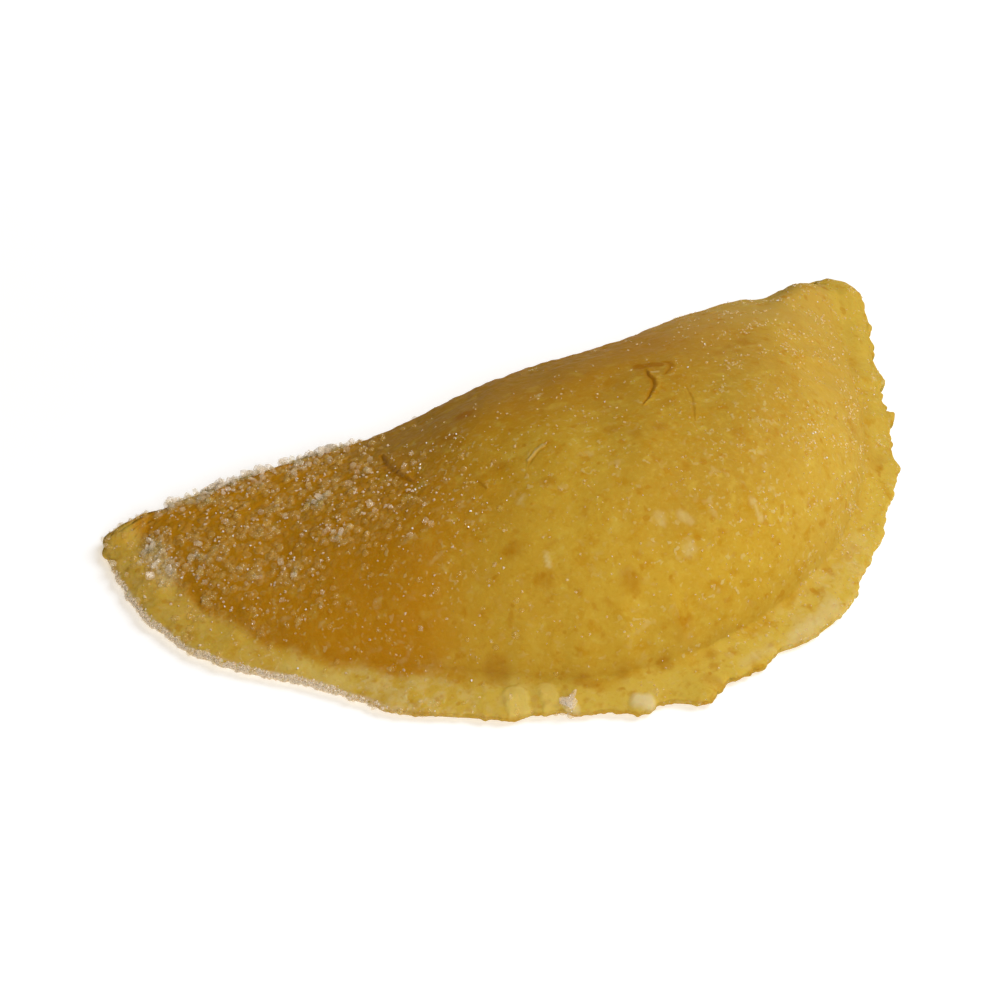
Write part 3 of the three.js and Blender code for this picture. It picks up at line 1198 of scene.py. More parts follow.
    def ease(self, bm: bmesh.types.BMesh, points: np.ndarray) -> None:
        """Smooth the foot of the dome, then the broad full end, then the edge.

        Args:
            bm: The dough.
            points: Its points before the smoothing.
        """
        moon = self.layout.moon
        x, y, z = points.T
        over = smoothstep(z / moon.rim_thickness, *self.top_side)
        past, inside = moon.past_crease(x, y), moon.inside_edge(x, y)
        crease = smoothstep(np.abs(past), self.crease_zone, self.crease_zone * self.zone_core)
        crease = crease * np.maximum(self.crease_front.share(points), x > 0.0)
        self.soften(bm, over * crease * smoothstep(inside, *self.crease_inside), self.crease_rounds)
        broad = smoothstep(np.abs(past), self.full_end_zone, self.full_end_zone * self.zone_core)
        broad = broad * self.full_end.share(points) * smoothstep(inside, *self.full_end_inside)
        self.soften(bm, over * broad, self.full_end_rounds)
        edge = smoothstep(inside, self.edge_zone, self.edge_zone * self.edge_core) * (past > 0.0)
        self.soften(bm, over * edge, self.edge_rounds)

    def form(self) -> bpy.types.Mesh:
        """Make the plain form.

        Returns:
            Its mesh, in millimetres of the plan.
        """
        bm = bmesh.new()
        bmesh.ops.create_icosphere(bm, subdivisions=self.subdivisions, radius=1.0)
        self.refine(bm)
        points = self.skin(np.array([vert.co for vert in bm.verts]))
        points[:, 2] += self.ramp(points)
        points[:, 2] -= self.sag(points)
        points[:, 2] -= self.drop(points)
        for vert, point in zip(bm.verts, points):
            vert.co = point
        self.ease(bm, points)
        for face in bm.faces:
            face.smooth = True
        mesh = bpy.data.meshes.new(self.name)
        bm.to_mesh(mesh)
        bm.free()
        return mesh

    def blemish(self, points: np.ndarray) -> tuple[np.ndarray, dict[str, np.ndarray]]:
        """Work out the cracks and the marks.

        Args:
            points: The plain form's points.

        Returns:
            How far the skin stands out for them, and the shares of their colours.
        """
        lift = np.zeros(len(points))
        shares = {name: np.zeros(len(points)) for name in ("stain", "pale", "facet")}
        for crack in self.cracks:
            out, stain = crack.carve(points)
            lift += out
            shares["stain"] = np.maximum(shares["stain"], stain)
        above = smoothstep(points[:, 2], *self.marks_fade)
        for mark in self.marks:
            share = mark.share(points)
            lift += mark.lift * share
            for name, strength in (("stain", mark.stain), ("pale", mark.pale), ("facet", mark.lemon)):
                shares[name] = np.maximum(shares[name], strength * share * above)
        return lift, shares

    def build(self) -> bpy.types.Object:
        """Build the dough and link it to the scene.

        Returns:
            The dough's object.
        """
        mesh = self.form()
        points = read_points(mesh)
        normals = np.empty(points.size, np.float32)
        mesh.vertex_normals.foreach_get("vector", normals)
        normals = normals.reshape(-1, 3).astype(float)

        lift, shares = self.blemish(points)
        lift += self.relief.height(points, normals)
        lift *= smoothstep(points[:, 2], 0.0, self.underside * 2)
        points = points + normals * lift[:, None]
        points[:, 2] = np.maximum(points[:, 2], 0.0)
        mesh.vertices.foreach_set("co", self.layout.to_frame(points).ravel())

        zones = self.zones
        for zone in (zones.browned_and_shade, zones.crust, zones.milky, zones.painted_sheen, zones.lemon):
            shares[zone.__name__] = zone(points)
        for zone in (zones.frost, zones.painted_shade, zones.flecked, zones.mottled):
            shares[zone.__name__] = zone(points, normals)
        for name, share in shares.items():
            layer = mesh.attributes.new(name, "FLOAT", "POINT")
            layer.data.foreach_set("value", share.astype(np.float32))
        mesh.update()
        return add_piece(self.name, mesh, self.finish.material())


@dataclass(frozen=True)
class SugarFinish:
    """The look of one kind of sugar: clear and glassy, or cloudy."""

    name: str
    tint: Colour
    cover: float
    roughness: float
    ior: float
    clear: float = 0.0

    def material(self) -> bpy.types.Material:
        """Build the material.

        Returns:
            The material, the same all over a grain.
        """
        wires = Wiring(self.name)
        inputs = wires.shader.inputs
        inputs["Base Color"].default_value = self.tint
        inputs["Roughness"].default_value = self.roughness
        inputs["Alpha"].default_value = self.cover
        inputs["IOR"].default_value = self.ior
        inputs["Transmission Weight"].default_value = self.clear
        return wires.material


class Cut(Enum):
    """The shapes of sugar grains."""

    CRYSTAL = "sharp-edged block"
    MELTED = "block with its edges melted round"
    CRUMB = "tiny chip"


@dataclass(frozen=True)
class GrainShape:
    """The shape of one kind of grain, one unit long, in a few variants."""

    cut: Cut
    variants: int = 7
    unevenness: float = 0.045
    chamfer: float = 0.17
    squareness: float = 0.55

    def variant(self, number: int) -> tuple[np.ndarray, np.ndarray]:
        """Make one variant.

        Args:
            number: Which variant.

        Returns:
            Its points, and its triangles as rows of point numbers.
        """
        bm = bmesh.new()
        if self.cut is Cut.CRYSTAL:
            bmesh.ops.create_cube(bm, size=1.0)
            bmesh.ops.bevel(
                bm, geom=bm.edges[:], offset=self.chamfer,
                affect="EDGES", segments=1, profile=0.5, material=-1,
            )
        else:
            rounds = 2 if self.cut is Cut.MELTED else 1
            bmesh.ops.create_icosphere(bm, subdivisions=rounds, radius=0.5)
        bmesh.ops.triangulate(bm, faces=bm.faces[:])
        random = np.random.default_rng(number)
        for vert in bm.verts:
            if self.cut is Cut.MELTED:
                biggest = max(abs(part) for part in vert.co)
                vert.co *= (0.5 / biggest) ** self.squareness
            vert.co += Vector(random.normal(0.0, self.unevenness, 3))
        bm.verts.index_update()
        points = np.array([vert.co for vert in bm.verts])
        faces = np.array([[vert.index for vert in face.verts] for face in bm.faces])
        bm.free()
        return points, faces


@dataclass(frozen=True)
class Heap:
    """A place where the sugar is heaped."""

    at: tuple[float, float]
    radius: float
    extra: float


class Skin:
    """The dough's finished skin, on which the sugar lies."""

    def __init__(self, dough: bpy.types.Object, layout: Layout) -> None:
        """Measure the dough's triangles.

        Args:
            dough: The dough's object.
            layout: Where the plan lies in the frame.
        """
        mesh = dough.data
        points = layout.to_plan(read_points(mesh))
        mesh.calc_loop_triangles()
        corners = np.empty(len(mesh.loop_triangles) * 3, int)
        mesh.loop_triangles.foreach_get("vertices", corners)
        self.corners = points[corners.reshape(-1, 3)]
        cross = np.cross(self.corners[:, 1] - self.corners[:, 0], self.corners[:, 2] - self.corners[:, 0])
        size = np.linalg.norm(cross, axis=1)
        self.areas = size / 2.0
        self.normals = cross / np.maximum(size, 1e-12)[:, None]
        self.middles = self.corners.mean(axis=1)

    def pick(
        self, random: np.random.Generator, count: int, density: np.ndarray
    ) -> tuple[np.ndarray, np.ndarray]:
        """Pick places on the skin.

        Args:
            random: The source of chance.
            count: How many places.
            density: How densely each triangle is covered.

        Returns:
            The places and the skin's directions there.
        """
        weight = self.areas * density
        chosen = random.choice(len(weight), count, p=weight / weight.sum())
        share = random.dirichlet((1.0, 1.0, 1.0), count)
        return (self.corners[chosen] * share[:, :, None]).sum(axis=1), self.normals[chosen]


@dataclass(frozen=True)
class Sugar:
    """One kind of sugar, strewn over the dough as one joined mesh."""

    name: str
    finish: SugarFinish
    shape: GrainShape
    layout: Layout
    zones: Zones
    count: int
    seed: int
    smallest: float
    largest: float
    crust_density: float
    open_density: float
    wall_density: float
    heaps: tuple[Heap, ...] = ()
    kept_clear: tuple[Trace, ...] = ()
    patch_size: float = 3.2
    patchiness: float = 2.2
    patch_share: float = 0.5
    sunk: float = 0.30
    piled: float = 0.0
    piled_rise: tuple[float, float] = (0.3, 0.7)
    flattest: float = 0.7
    longest: float = 1.15
    wall_from: float = 184.0
    wall_to: float = 244.0
    wall_fade_in: float = 8.0
    wall_fade_out: float = 16.0
    wall_up: tuple[float, float] = (0.90, 0.45)
    cleared: float = 0.95
    cleared_spread: float = 1.3
    lowest: float = 0.35
    steepest: float = -0.25
    off_floor: float = 0.02

    def density(self, skin: Skin) -> np.ndarray:
        """Give how densely this kind covers the skin.

        Args:
            skin: The skin that it lies on.

        Returns:
            The density on each triangle.
        """
        points, normals = skin.middles, skin.normals
        x, y, z = points.T
        crust = self.zones.crust(points)
        amount = self.open_density * self.zones.powder(points) * (1.0 - crust) + self.crust_density * crust
        patches = self.patch_share + rough(points, self.patch_size, Noise.SUGAR + self.seed)
        amount = amount * np.clip(patches, 0.0, None) ** self.patchiness
        angle = self.layout.moon.angle_about(x, y)
        side = smoothstep(angle, self.wall_from, self.wall_from + self.wall_fade_in)
        side = side * smoothstep(angle, self.wall_to, self.wall_to - self.wall_fade_out)
        steep = smoothstep(normals[:, 2], *self.wall_up) * self.zones.outside(points)
        amount = amount + self.wall_density * side * steep
        for heap in self.heaps:
            amount = amount + heap.extra * bump(np.hypot(x - heap.at[0], y - heap.at[1]), 0.0, heap.radius)
        for trace in self.kept_clear:
            amount = amount * (1.0 - self.cleared * bump(trace.reach(x, y)[0], 0.0, self.cleared_spread))
        return amount * (z > self.lowest) * (normals[:, 2] > self.steepest)

    def turns(self, random: np.random.Generator) -> np.ndarray:
        """Make a random turn for each grain.

        Args:
            random: The source of chance.

        Returns:
            One rotation matrix for each grain.
        """
        quaternions = random.normal(size=(4, self.count))
        w, x, y, z = quaternions / np.linalg.norm(quaternions, axis=0)
        rows = [
            [1 - 2 * (y * y + z * z), 2 * (x * y - z * w), 2 * (x * z + y * w)],
            [2 * (x * y + z * w), 1 - 2 * (x * x + z * z), 2 * (y * z - x * w)],
            [2 * (x * z - y * w), 2 * (y * z + x * w), 1 - 2 * (x * x + y * y)],
        ]
        return np.moveaxis(np.array(rows), -1, 0)

    def build(self, skin: Skin) -> bpy.types.Object:
        """Strew the sugar and link it to the scene.

        Args:
            skin: The skin that it lies on.

        Returns:
            The sugar's object.
        """
        random = np.random.default_rng(self.seed)
        places, normals = skin.pick(random, self.count, self.density(skin))
        sizes = np.exp(random.uniform(math.log(self.smallest), math.log(self.largest), self.count))
        on_top = (random.random(self.count) < self.piled * self.zones.crust(places)).astype(float)
        rise = on_top * random.uniform(*self.piled_rise, self.count) * self.largest
        rise = rise + sizes * (0.5 - self.sunk)
        places = places + normals * rise[:, None]
        stretch = sizes[:, None] * random.uniform(self.flattest, self.longest, (self.count, 3))
        turns = self.turns(random)

        points, faces, start = [], [], 0
        for number in range(self.shape.variants):
            template, triangles = self.shape.variant(number)
            mine = np.arange(number, self.count, self.shape.variants)
            laid = np.einsum("gij,gpj->gpi", turns[mine], template[None] * stretch[mine][:, None, :])
            laid = laid + places[mine][:, None, :]
            steps = start + np.arange(len(mine)) * len(template)
            points.append(laid.reshape(-1, 3))
            faces.append((triangles[None] + steps[:, None, None]).reshape(-1, 3))
            start += len(mine) * len(template)
        mesh = bpy.data.meshes.new(self.name)
        spots = np.concatenate(points)
        spots[:, 2] = np.maximum(spots[:, 2], self.off_floor)
        mesh.from_pydata(self.layout.to_frame(spots).tolist(), [], np.concatenate(faces).tolist())
        mesh.polygons.foreach_set("use_smooth", [self.shape.cut is Cut.MELTED] * len(mesh.polygons))
        return add_piece(self.name, mesh, self.finish.material())


@dataclass(frozen=True)
class Lamp:
    """A soft lamp, by where it stands about the target."""

    name: str
    azimuth: float
    elevation: float
    distance: float
    size: float
    power: float


@dataclass(frozen=True)
class Studio:
    """The camera, the lights and the pale floor."""

    layout: Layout
    azimuth: float = -26.2
    elevation: float = 44.0
    distance: float = 400.0
    target: tuple[float, float, float] = (-8.5, -19.0, 5.0)
    focal_pixels: float = 2900.0
    image_pixels: float = 1000.0
    sensor: float = 36.0
    lamps: tuple[Lamp, ...] = (
        Lamp("key", 86.0, 48.0, 450.0, 340.0, 1.72),
        Lamp("fill", -22.0, 36.0, 450.0, 260.0, 1.20),
    )
    room_light: float = 0.06
    light_through_sugar: float = 0.45
    floor_size: float = 4000.0
    floor_roughness: float = 0.9
    floor_colour: Colour = (0.66, 0.76, 0.90, 1.0)
    glow_colour: Colour = (1.0, 0.82, 0.58, 1.0)
    floor_glow: float = 0.505
    far_glow: float = 1.8
    glow_from: float = 80.0
    glow_to: float = 500.0

    @staticmethod
    def direction(azimuth: float, elevation: float) -> Vector:
        """Give the way towards an azimuth and an elevation, in degrees."""
        turn, rise = math.radians(azimuth), math.radians(elevation)
        return Vector((math.sin(turn) * math.cos(rise), -math.cos(turn) * math.cos(rise), math.sin(rise)))

    def aim(self, item: bpy.types.Object, azimuth: float, elevation: float, distance: float) -> None:
        """Place a lamp or the camera away from the target, looking at it.

        Args:
            item: The lamp or the camera.
            azimuth: Its azimuth about the target, in degrees.
            elevation: Its elevation, in degrees.
            distance: Its distance, in millimetres.
        """
        towards = self.direction(azimuth, elevation)
        item.location = self.layout.middle + Vector(self.target) * MM + towards * distance * MM
        item.rotation_euler = towards.to_track_quat("Z", "Y").to_euler()
        bpy.context.scene.collection.objects.link(item)

    def place_camera(self) -> None:
        """Set up the camera."""
        camera = bpy.data.cameras.new("camera")
        camera.sensor_width = self.sensor
        camera.lens = self.focal_pixels / self.image_pixels * self.sensor
        eye = bpy.data.objects.new("camera", camera)
        self.aim(eye, self.azimuth, self.elevation, self.distance)
        bpy.context.scene.camera = eye

    def hang_lamps(self) -> None:
        """Set up the lamps."""
        for lamp in self.lamps:
            light = bpy.data.lights.new(lamp.name, "AREA")
            light.shape = "DISK"
            light.size = lamp.size * MM
            light.energy = lamp.power
            self.aim(bpy.data.objects.new(lamp.name, light), lamp.azimuth, lamp.elevation, lamp.distance)

    def light_room(self) -> None:
        """Set up the dim room, which the camera sees as white and the sugar lets through as brighter."""
        world = bpy.data.worlds.new("room")
        world.use_nodes = True
        nodes, links = world.node_tree.nodes, world.node_tree.links
        room = nodes["Background"]
        room.inputs["Color"].default_value = (1.0, 1.0, 1.0, 1.0)
        rays = nodes.new("ShaderNodeLightPath").outputs
        through = nodes.new("ShaderNodeMath")
        through.operation = "MULTIPLY"
        through.inputs[1].default_value = self.light_through_sugar
        links.new(rays["Is Transmission Ray"], through.inputs[0])
        seen = nodes.new("ShaderNodeMath")
        seen.operation = "MAXIMUM"
        links.new(rays["Is Camera Ray"], seen.inputs[0])
        links.new(through.outputs["Value"], seen.inputs[1])
        strength = nodes.new("ShaderNodeMapRange")
        strength.inputs["To Min"].default_value = self.room_light
        links.new(seen.outputs["Value"], strength.inputs["Value"])
        links.new(strength.outputs["Result"], room.inputs["Strength"])
        bpy.context.scene.world = world

    def lay_floor(self) -> None:
        """Lay the pale floor."""
        bm = bmesh.new()
        bmesh.ops.create_grid(bm, x_segments=1, y_segments=1, size=self.floor_size * MM / 2)
        mesh = bpy.data.meshes.new("floor")
        bm.to_mesh(mesh)
        bm.free()
        wires = Wiring("pale_floor")
        wires.shader.inputs["Base Color"].default_value = self.floor_colour
        wires.shader.inputs["Roughness"].default_value = self.floor_roughness
        wires.shader.inputs["Emission Color"].default_value = self.glow_colour
        away = wires.node("VectorMath", {0: wires.place}, operation="LENGTH").outputs["Value"]
        reach = {"Value": away, "From Min": self.glow_from * MM, "From Max": self.glow_to * MM}
        glow = wires.node("MapRange", reach | {"To Min": self.floor_glow, "To Max": self.far_glow})
        wires.feed(wires.shader.inputs["Emission Strength"], glow.outputs["Result"])
        add_piece("floor", mesh, wires.material)

    def build(self) -> None:
        """Set up the whole studio."""
        self.place_camera()
        self.hang_lamps()
        self.light_room()
        self.lay_floor()
        bpy.context.scene.view_settings.view_transform = "Standard"


# The finer swells and nips of the rim's outline, by the angle about the middle of the round.
RIM_NICKS = (
    Swell(202.5, 2.5, 0.6), Swell(213, 5, -0.6), Swell(226, 2, -0.4), Swell(245, 2, 0.6),
    Swell(252, 1.5, -0.4), Swell(258.5, 2.4, -0.8), Swell(262.5, 1.2, 0.4), Swell(266.6, 2.4, -0.9),
    Swell(271.4, 1.2, 0.7), Swell(275, 1.0, -0.4), Swell(279.6, 0.8, 0.2), Swell(284, 1.8, -0.8),
    Swell(302, 4.5, -0.45), Swell(309.6, 2.5, 0.5), Swell(317.5, 2.5, -0.3), Swell(327, 1.8, -0.6),
    Swell(334.5, 1.4, 0.8), Swell(340.6, 1.0, -0.35), Swell(343.0, 1.1, 0.6), Swell(348.0, 2.4, -0.8),
    Swell(352.6, 1.4, -0.3), Swell(355.2, 1.2, 0.2), Swell(360.0, 1.8, -0.3),
)

# Teeth and tears of the cut edge, over and above the nicks.
TEETH = (
    Swell(291.0, 1.3, -0.6), Swell(304.6, 0.8, 0.5), Swell(318.2, 0.9, 0.4), Swell(323.4, 0.8, 0.4),
    Swell(326.6, 0.6, -0.15), Swell(330.9, 0.6, -0.25), Swell(332.6, 0.4, 0.15), Swell(334.2, 0.5, 1.05),
    Swell(336.0, 0.45, 0.45), Swell(337.4, 0.4, -0.2), Swell(338.7, 0.45, 0.3), Swell(339.9, 0.45, -0.45),
    Swell(341.6, 0.5, 0.15), Swell(342.8, 0.4, 0.3), Swell(344.8, 0.7, -0.5), Swell(346.5, 0.5, -0.65),
    Swell(347.8, 0.5, 0.1), Swell(351.0, 0.7, -0.75), Swell(353.5, 0.7, 0.25), Swell(356.6, 0.9, -0.5),
)

CRACKS = (
    Crack(((15.2, -16.4), (14.5, -18.2), (14.4, -19.7), (13.9, -21.1), (12.9, -22.1), (11.6, -23.5),
           (10.3, -24.6)), 0.62, 0.12, 0.15, 0.90),
    Crack(((18.2, -15.9), (18.7, -16.6), (18.5, -17.6), (17.4, -18.9), (16.5, -19.5)), 0.7, 0.06, 0.04, 0.8),
    Crack(((17.6, -23.4), (17.0, -26.3), (16.0, -28.4), (15.1, -30.4)), 0.4, 0.07, 0.04, 0.4),
    Crack(((-21.3, -8.0), (-21.9, -10.2), (-21.9, -13.1), (-21.7, -15.5), (-21.3, -17.4)),
          0.9, 0.14, 0.08, 0.9),
    Crack(((-15.0, -25.3), (-14.7, -27.4)), 0.4, 0.08, 0.05, 0.4),
    Crack(((-9.0, -28.2), (-7.9, -27.2), (-6.6, -26.6), (-5.2, -26.4)), 0.35, 0.06, 0.05, 0.35),
)

MARKS = (
    # The raised corners of the two ends.
    Mark(((51.8, 0.2), (56.8, 0.6)), 7.5, lift=1.5, core=0.1),
    Mark(((-57.4, 1.2), (-53.5, 2.2)), 2.8, lift=0.7, core=0.3),
    # Stained skin and pale lips by the cracks.
    Mark(((14.9, -14.9), (16.4, -15.7), (17.3, -16.3)), 0.95, stain=0.9, core=0.6),
    Mark(((15.3, -17.9), (16.0, -18.3)), 0.35, pale=0.5, lift=0.1),
    Mark(((-8.2, -27.0), (-7.0, -26.3), (-5.6, -26.0)), 0.36, pale=0.35, lift=0.12),
    Mark(((-1.1, -13.9), (0.6, -13.3)), 0.28, pale=0.4, lift=0.06),
    # Orange spots.
    Mark(((3.6, -27.6), (4.0, -27.6)), 1.2, stain=0.45),
    Mark(((-10.0, -10.1), (-9.4, -10.2)), 1.6, stain=0.95, core=0.4),
    Mark(((-13.8, -13.4), (-13.4, -13.8)), 1.4, stain=0.7, core=0.4),
    Mark(((10.4, -18.0), (10.8, -18.3)), 1.3, stain=0.25),
    Mark(((13.0, -25.8), (13.6, -25.7)), 1.3, stain=0.30),
    Mark(((17.4, -21.4), (17.9, -21.4)), 1.4, stain=0.30),
    Mark(((-7.9, -31.8), (-7.4, -32.0)), 1.2, stain=0.40),
    Mark(((-11.9, -24.0), (-11.6, -24.3)), 0.8, stain=0.40),
    Mark(((19.2, -34.3), (19.7, -34.5)), 1.1, stain=0.40),
    Mark(((40.7, -30.2), (41.0, -30.5)), 0.9, stain=0.35),
    Mark(((-1.9, -54.3), (-1.4, -54.6)), 1.1, stain=0.35),
    Mark(((1.4, -53.0), (2.0, -53.1)), 1.8, stain=0.30),
    Mark(((2.3, -58.8), (3.3, -59.3)), 1.3, stain=0.35),
    Mark(((6.0, -30.1), (6.5, -30.1)), 1.2, stain=0.39),
    Mark(((9.7, -30.1), (10.3, -30.3)), 1.3, stain=0.42),
    Mark(((31.1, -15.2), (31.5, -15.2)), 1.3, stain=0.48),
    Mark(((28.5, -15.8), (28.9, -15.7)), 0.9, stain=0.36),
    Mark(((28.9, -17.6), (29.3, -17.8)), 1.0, stain=0.36),
    Mark(((26.4, -17.2), (26.8, -17.2)), 1.0, stain=0.36),
    Mark(((8.5, -12.2), (8.9, -12.3)), 1.2, stain=0.36),
    Mark(((9.2, -16.5), (9.6, -16.5)), 1.1, stain=0.36),
    Mark(((-11.8, -25.3), (-11.4, -25.3)), 1.2, stain=0.36),
    Mark(((-13.9, -16.9), (-13.5, -16.9)), 1.3, stain=0.42),
    Mark(((-15.9, -37.6), (-15.4, -37.6)), 1.5, stain=0.36),
    Mark(((-13.7, -42.9), (-13.2, -42.9)), 1.3, stain=0.36),
    Mark(((-3.8, -47.2), (-3.4, -48.0)), 1.6, stain=0.48),
    Mark(((-22.9, -46.0), (-22.1, -46.7)), 1.9, stain=0.45),
    Mark(((-13.2, -52.0), (-12.6, -52.4)), 1.0, stain=0.42),
    Mark(((-11.8, -53.0), (-11.4, -53.1)), 1.0, stain=0.36),
    Mark(((-7.9, -53.6), (-7.5, -53.6)), 1.0, stain=0.36),
    Mark(((4.5, -55.3), (4.9, -55.4)), 1.1, stain=0.36),
    Mark(((44.5, -32.9), (42.7, -34.6)), 1.2, stain=0.27),
    Mark(((54.0, 0.6), (54.6, 0.6)), 0.9, stain=0.7),
    # Smooth yellow chips and milky patches, most of them on the rim.
    Mark(((-21.6, -50.2), (-22.8, -54.8)), 1.75, lemon=0.65, lift=0.18, core=0.75),
    Mark(((-17.4, -51.2), (-18.4, -55.0)), 1.3, lemon=0.5, lift=0.16, core=0.75),
    Mark(((-7.5, -57.9), (-6.5, -58.4)), 1.5, pale=0.95, lift=0.35, core=0.3),
    Mark(((-15.9, -54.2), (-15.7, -55.8)), 1.1, pale=0.9, lift=0.3),
    Mark(((-54.6, -4.6), (-54.6, -10.4)), 2.0, pale=0.6),
    Mark(((-50.0, 1.4), (-36.0, 1.6), (-24.0, 2.0)), 1.2, pale=0.35),
    Mark(((-46.3, -32.1), (-42.8, -35.4), (-40.5, -38.2)), 1.9, lemon=0.4, core=0.1),
    Mark(((-12.3, -32.4), (-11.4, -31.8)), 0.5, pale=0.3),
    Mark(((16.5, -57.2), (24.0, -54.6)), 1.9, pale=0.45, core=0.1),
    Mark(((30.5, -47.6), (33.5, -44.6)), 1.4, pale=0.15, core=0.1),
    Mark(((8.0, -58.2), (12.5, -57.3)), 1.3, pale=0.25, core=0.1),
    # Pale spots on the dome.
    Mark(((3.1, -42.7), (3.1, -43.1)), 1.1, pale=0.30),
    Mark(((5.9, -43.3), (6.9, -44.3)), 0.8, pale=0.35),
    Mark(((5.1, -46.9), (5.5, -46.9)), 1.1, pale=0.30),
    Mark(((16.7, -43.6), (16.9, -45.6)), 0.5, pale=0.4),
    Mark(((-12.3, -40.3), (-12.6, -41.6)), 0.5, pale=0.55, lift=0.1),
)

# Where the sugar is heaped: the thin end's corner and fold, a clump on the rim and a few spots of the crust.
HEAPS = (
    Heap((-54.3, -5.0), 1.9, 1.6), Heap((-54.3, -9.5), 1.7, 1.5), Heap((-49.8, -9.8), 1.4, 0.8),
    Heap((-15.9, -54.7), 0.7, 1.5), Heap((-49.0, 1.2), 1.0, 1.6), Heap((-38.0, 1.8), 2.4, 1.0),
    Heap((-29.0, 1.8), 3.0, 1.6), Heap((-24.0, 1.8), 2.6, 0.9), Heap((-44.0, 1.5), 2.5, 0.9),
    Heap((-33.0, -20.2), 1.0, 0.7), Heap((-39.6, -20.6), 1.4, 0.5), Heap((-31.6, -11.6), 1.2, 0.6),
    Heap((-45.0, -8.2), 1.4, 0.5),
)

# Where the large flakes lie.
FLAKES = (
    Heap((-48.9, 1.3), 0.7, 2.2), Heap((-42.0, 1.4), 1.5, 1.7), Heap((-38.6, 1.3), 1.4, 1.5),
    Heap((-35.6, 1.4), 0.8, 1.8), Heap((-31.5, 1.5), 0.9, 1.7), Heap((-28.0, 1.5), 1.4, 2.3),
    Heap((-25.2, 1.5), 1.2, 3.2), Heap((-21.8, 1.7), 1.5, 1.2), Heap((-54.5, -5.0), 1.2, 0.3),
    Heap((-54.6, -9.4), 1.1, 0.6), Heap((-57.0, -9.0), 0.9, 0.4), Heap((-49.6, -9.9), 0.8, 0.6),
    Heap((-15.9, -54.2), 0.5, 4.6), Heap((-33.0, -20.2), 0.7, 0.7), Heap((-31.6, -11.6), 0.8, 0.6),
)

# Where fine sugar has gathered on the open dough.
TRAILS = (
    Heap((-13.9, -13.8), 0.9, 0.8), Heap((-12.9, -15.2), 0.7, 0.8), Heap((-14.3, -19.5), 0.9, 1.0),
    Heap((-15.0, -21.8), 0.8, 0.9), Heap((-15.7, -24.8), 0.8, 1.1), Heap((-16.2, -27.6), 0.8, 1.0),
    Heap((-17.2, -29.8), 0.8, 0.8), Heap((-18.6, -32.3), 0.9, 0.9), Heap((-19.8, -16.2), 0.9, 0.5),
    Heap((-20.4, -19.2), 0.9, 0.6), Heap((-20.6, -22.4), 1.0, 0.6), Heap((-4.8, -25.9), 0.5, 1.2),
    Heap((29.8, -31.8), 1.0, 0.6), Heap((31.5, -34.3), 1.1, 0.6), Heap((27.3, -36.7), 0.9, 0.6),
    Heap((8.4, -38.9), 1.1, 0.6), Heap((9.7, -41.0), 0.9, 0.5),
)

HEAPED_SUGAR = SugarFinish("heaped_sugar", (0.95, 0.79, 0.50, 1.0), 0.28, 0.12, 1.6, clear=0.35)
FLAKE_SUGAR = SugarFinish("flake_sugar", (0.98, 0.82, 0.60, 1.0), 0.34, 0.12, 1.7, clear=0.12)
MELTED_SUGAR = SugarFinish("melted_sugar", (0.86, 0.60, 0.17, 1.0), 0.21, 0.08, 1.6, clear=0.20)
FROSTED_SUGAR = SugarFinish("frosted_sugar", (0.93, 0.77, 0.55, 1.0), 0.45, 0.25, 1.6)
FINE_SUGAR = SugarFinish("fine_sugar", (1.0, 0.82, 0.46, 1.0), 0.28, 0.25, 1.5)
# Opaque near-white sugar chips whose colour also stands in for glints: real sugar and painted highlight.
PAINTED_GLINT_SUGAR = SugarFinish("painted_glint_sugar", (0.95, 0.90, 0.82, 1.0), 0.85, 0.15, 1.9)


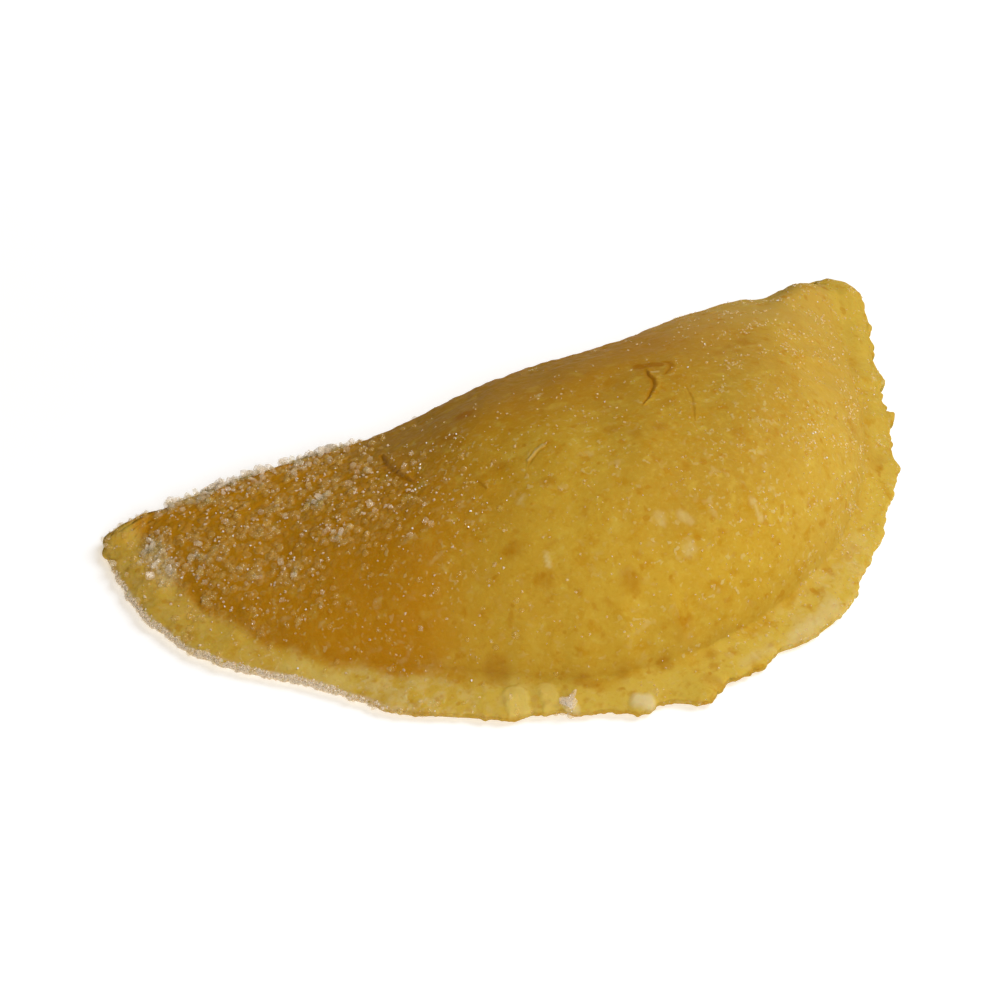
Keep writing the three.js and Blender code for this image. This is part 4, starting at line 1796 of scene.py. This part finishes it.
def sugars(layout: Layout, zones: Zones) -> tuple[Sugar, ...]:
    """List the kinds of sugar on the empanada, coarse to fine.

    Args:
        layout: Where the plan lies in the frame.
        zones: Where the dough is sugary.

    Returns:
        The kinds, each of which becomes one piece.
    """
    crystal = GrainShape(Cut.CRYSTAL)
    melted = GrainShape(Cut.MELTED)
    crumb = GrainShape(Cut.CRUMB, unevenness=0.08)
    return (
        Sugar(
            "coarse_sugar", HEAPED_SUGAR, crystal, layout, zones, count=380, seed=1,
            smallest=0.4, largest=0.9, crust_density=0.14, open_density=0.0, wall_density=0.15,
            heaps=HEAPS, kept_clear=CRACKS, piled=0.12,
        ),
        Sugar(
            "sugar_flakes", FLAKE_SUGAR, crystal, layout, zones, count=200, seed=6,
            smallest=0.75, largest=1.5, crust_density=0.0, open_density=0.0, wall_density=0.0,
            heaps=FLAKES, sunk=0.05, flattest=0.3,
        ),
        Sugar(
            "melted_sugar", MELTED_SUGAR, melted, layout, zones, count=900, seed=2,
            smallest=0.6, largest=1.15, crust_density=1.0, open_density=0.0, wall_density=0.2,
            heaps=HEAPS, kept_clear=CRACKS, patchiness=1.6, sunk=0.55, piled=0.03,
        ),
        Sugar(
            "frosted_sugar", FROSTED_SUGAR, crumb, layout, zones, count=1900, seed=4,
            smallest=0.22, largest=0.52, crust_density=0.03, open_density=0.0, wall_density=2.0,
            patchiness=1.0, sunk=0.40, wall_from=181.0, wall_to=234.0,
        ),
        Sugar(
            "fine_sugar", FINE_SUGAR, crumb, layout, zones, count=2900, seed=3,
            smallest=0.18, largest=0.48, crust_density=0.27, open_density=0.30, wall_density=0.45,
            heaps=HEAPS + TRAILS, kept_clear=CRACKS, sunk=0.55,
        ),
        # Sugar chips painted near-white as glints.
        Sugar(
            "painted_glint_sugar", PAINTED_GLINT_SUGAR, crumb, layout, zones, count=230, seed=5,
            smallest=0.15, largest=0.34, crust_density=0.38, open_density=0.035, wall_density=0.5,
            heaps=HEAPS + TRAILS, kept_clear=CRACKS, patchiness=2.4, sunk=0.2,
        ),
    )


def main() -> None:
    """Build the empanada and its studio."""
    logging.basicConfig(level=logging.INFO, format="%(name)s: %(message)s")
    layout = Layout.of_frame(HalfMoon(rim_nicks=RIM_NICKS))
    Studio(layout).build()
    zones = Zones(layout)
    dough = Dough(layout, zones, Relief(zones, teeth=TEETH), CRACKS, MARKS, DoughFinish()).build()
    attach(dough, BODY)
    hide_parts(NODE)
    LOG.info("%s: %d faces", dough.name, len(dough.data.polygons))
    skin = Skin(dough, layout)
    for sugar in sugars(layout, zones):
        piece = sugar.build(skin)
        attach(piece, BODY)
        LOG.info("%s: %d faces", piece.name, len(piece.data.polygons))
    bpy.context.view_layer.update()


if __name__ == "__main__":
    main()
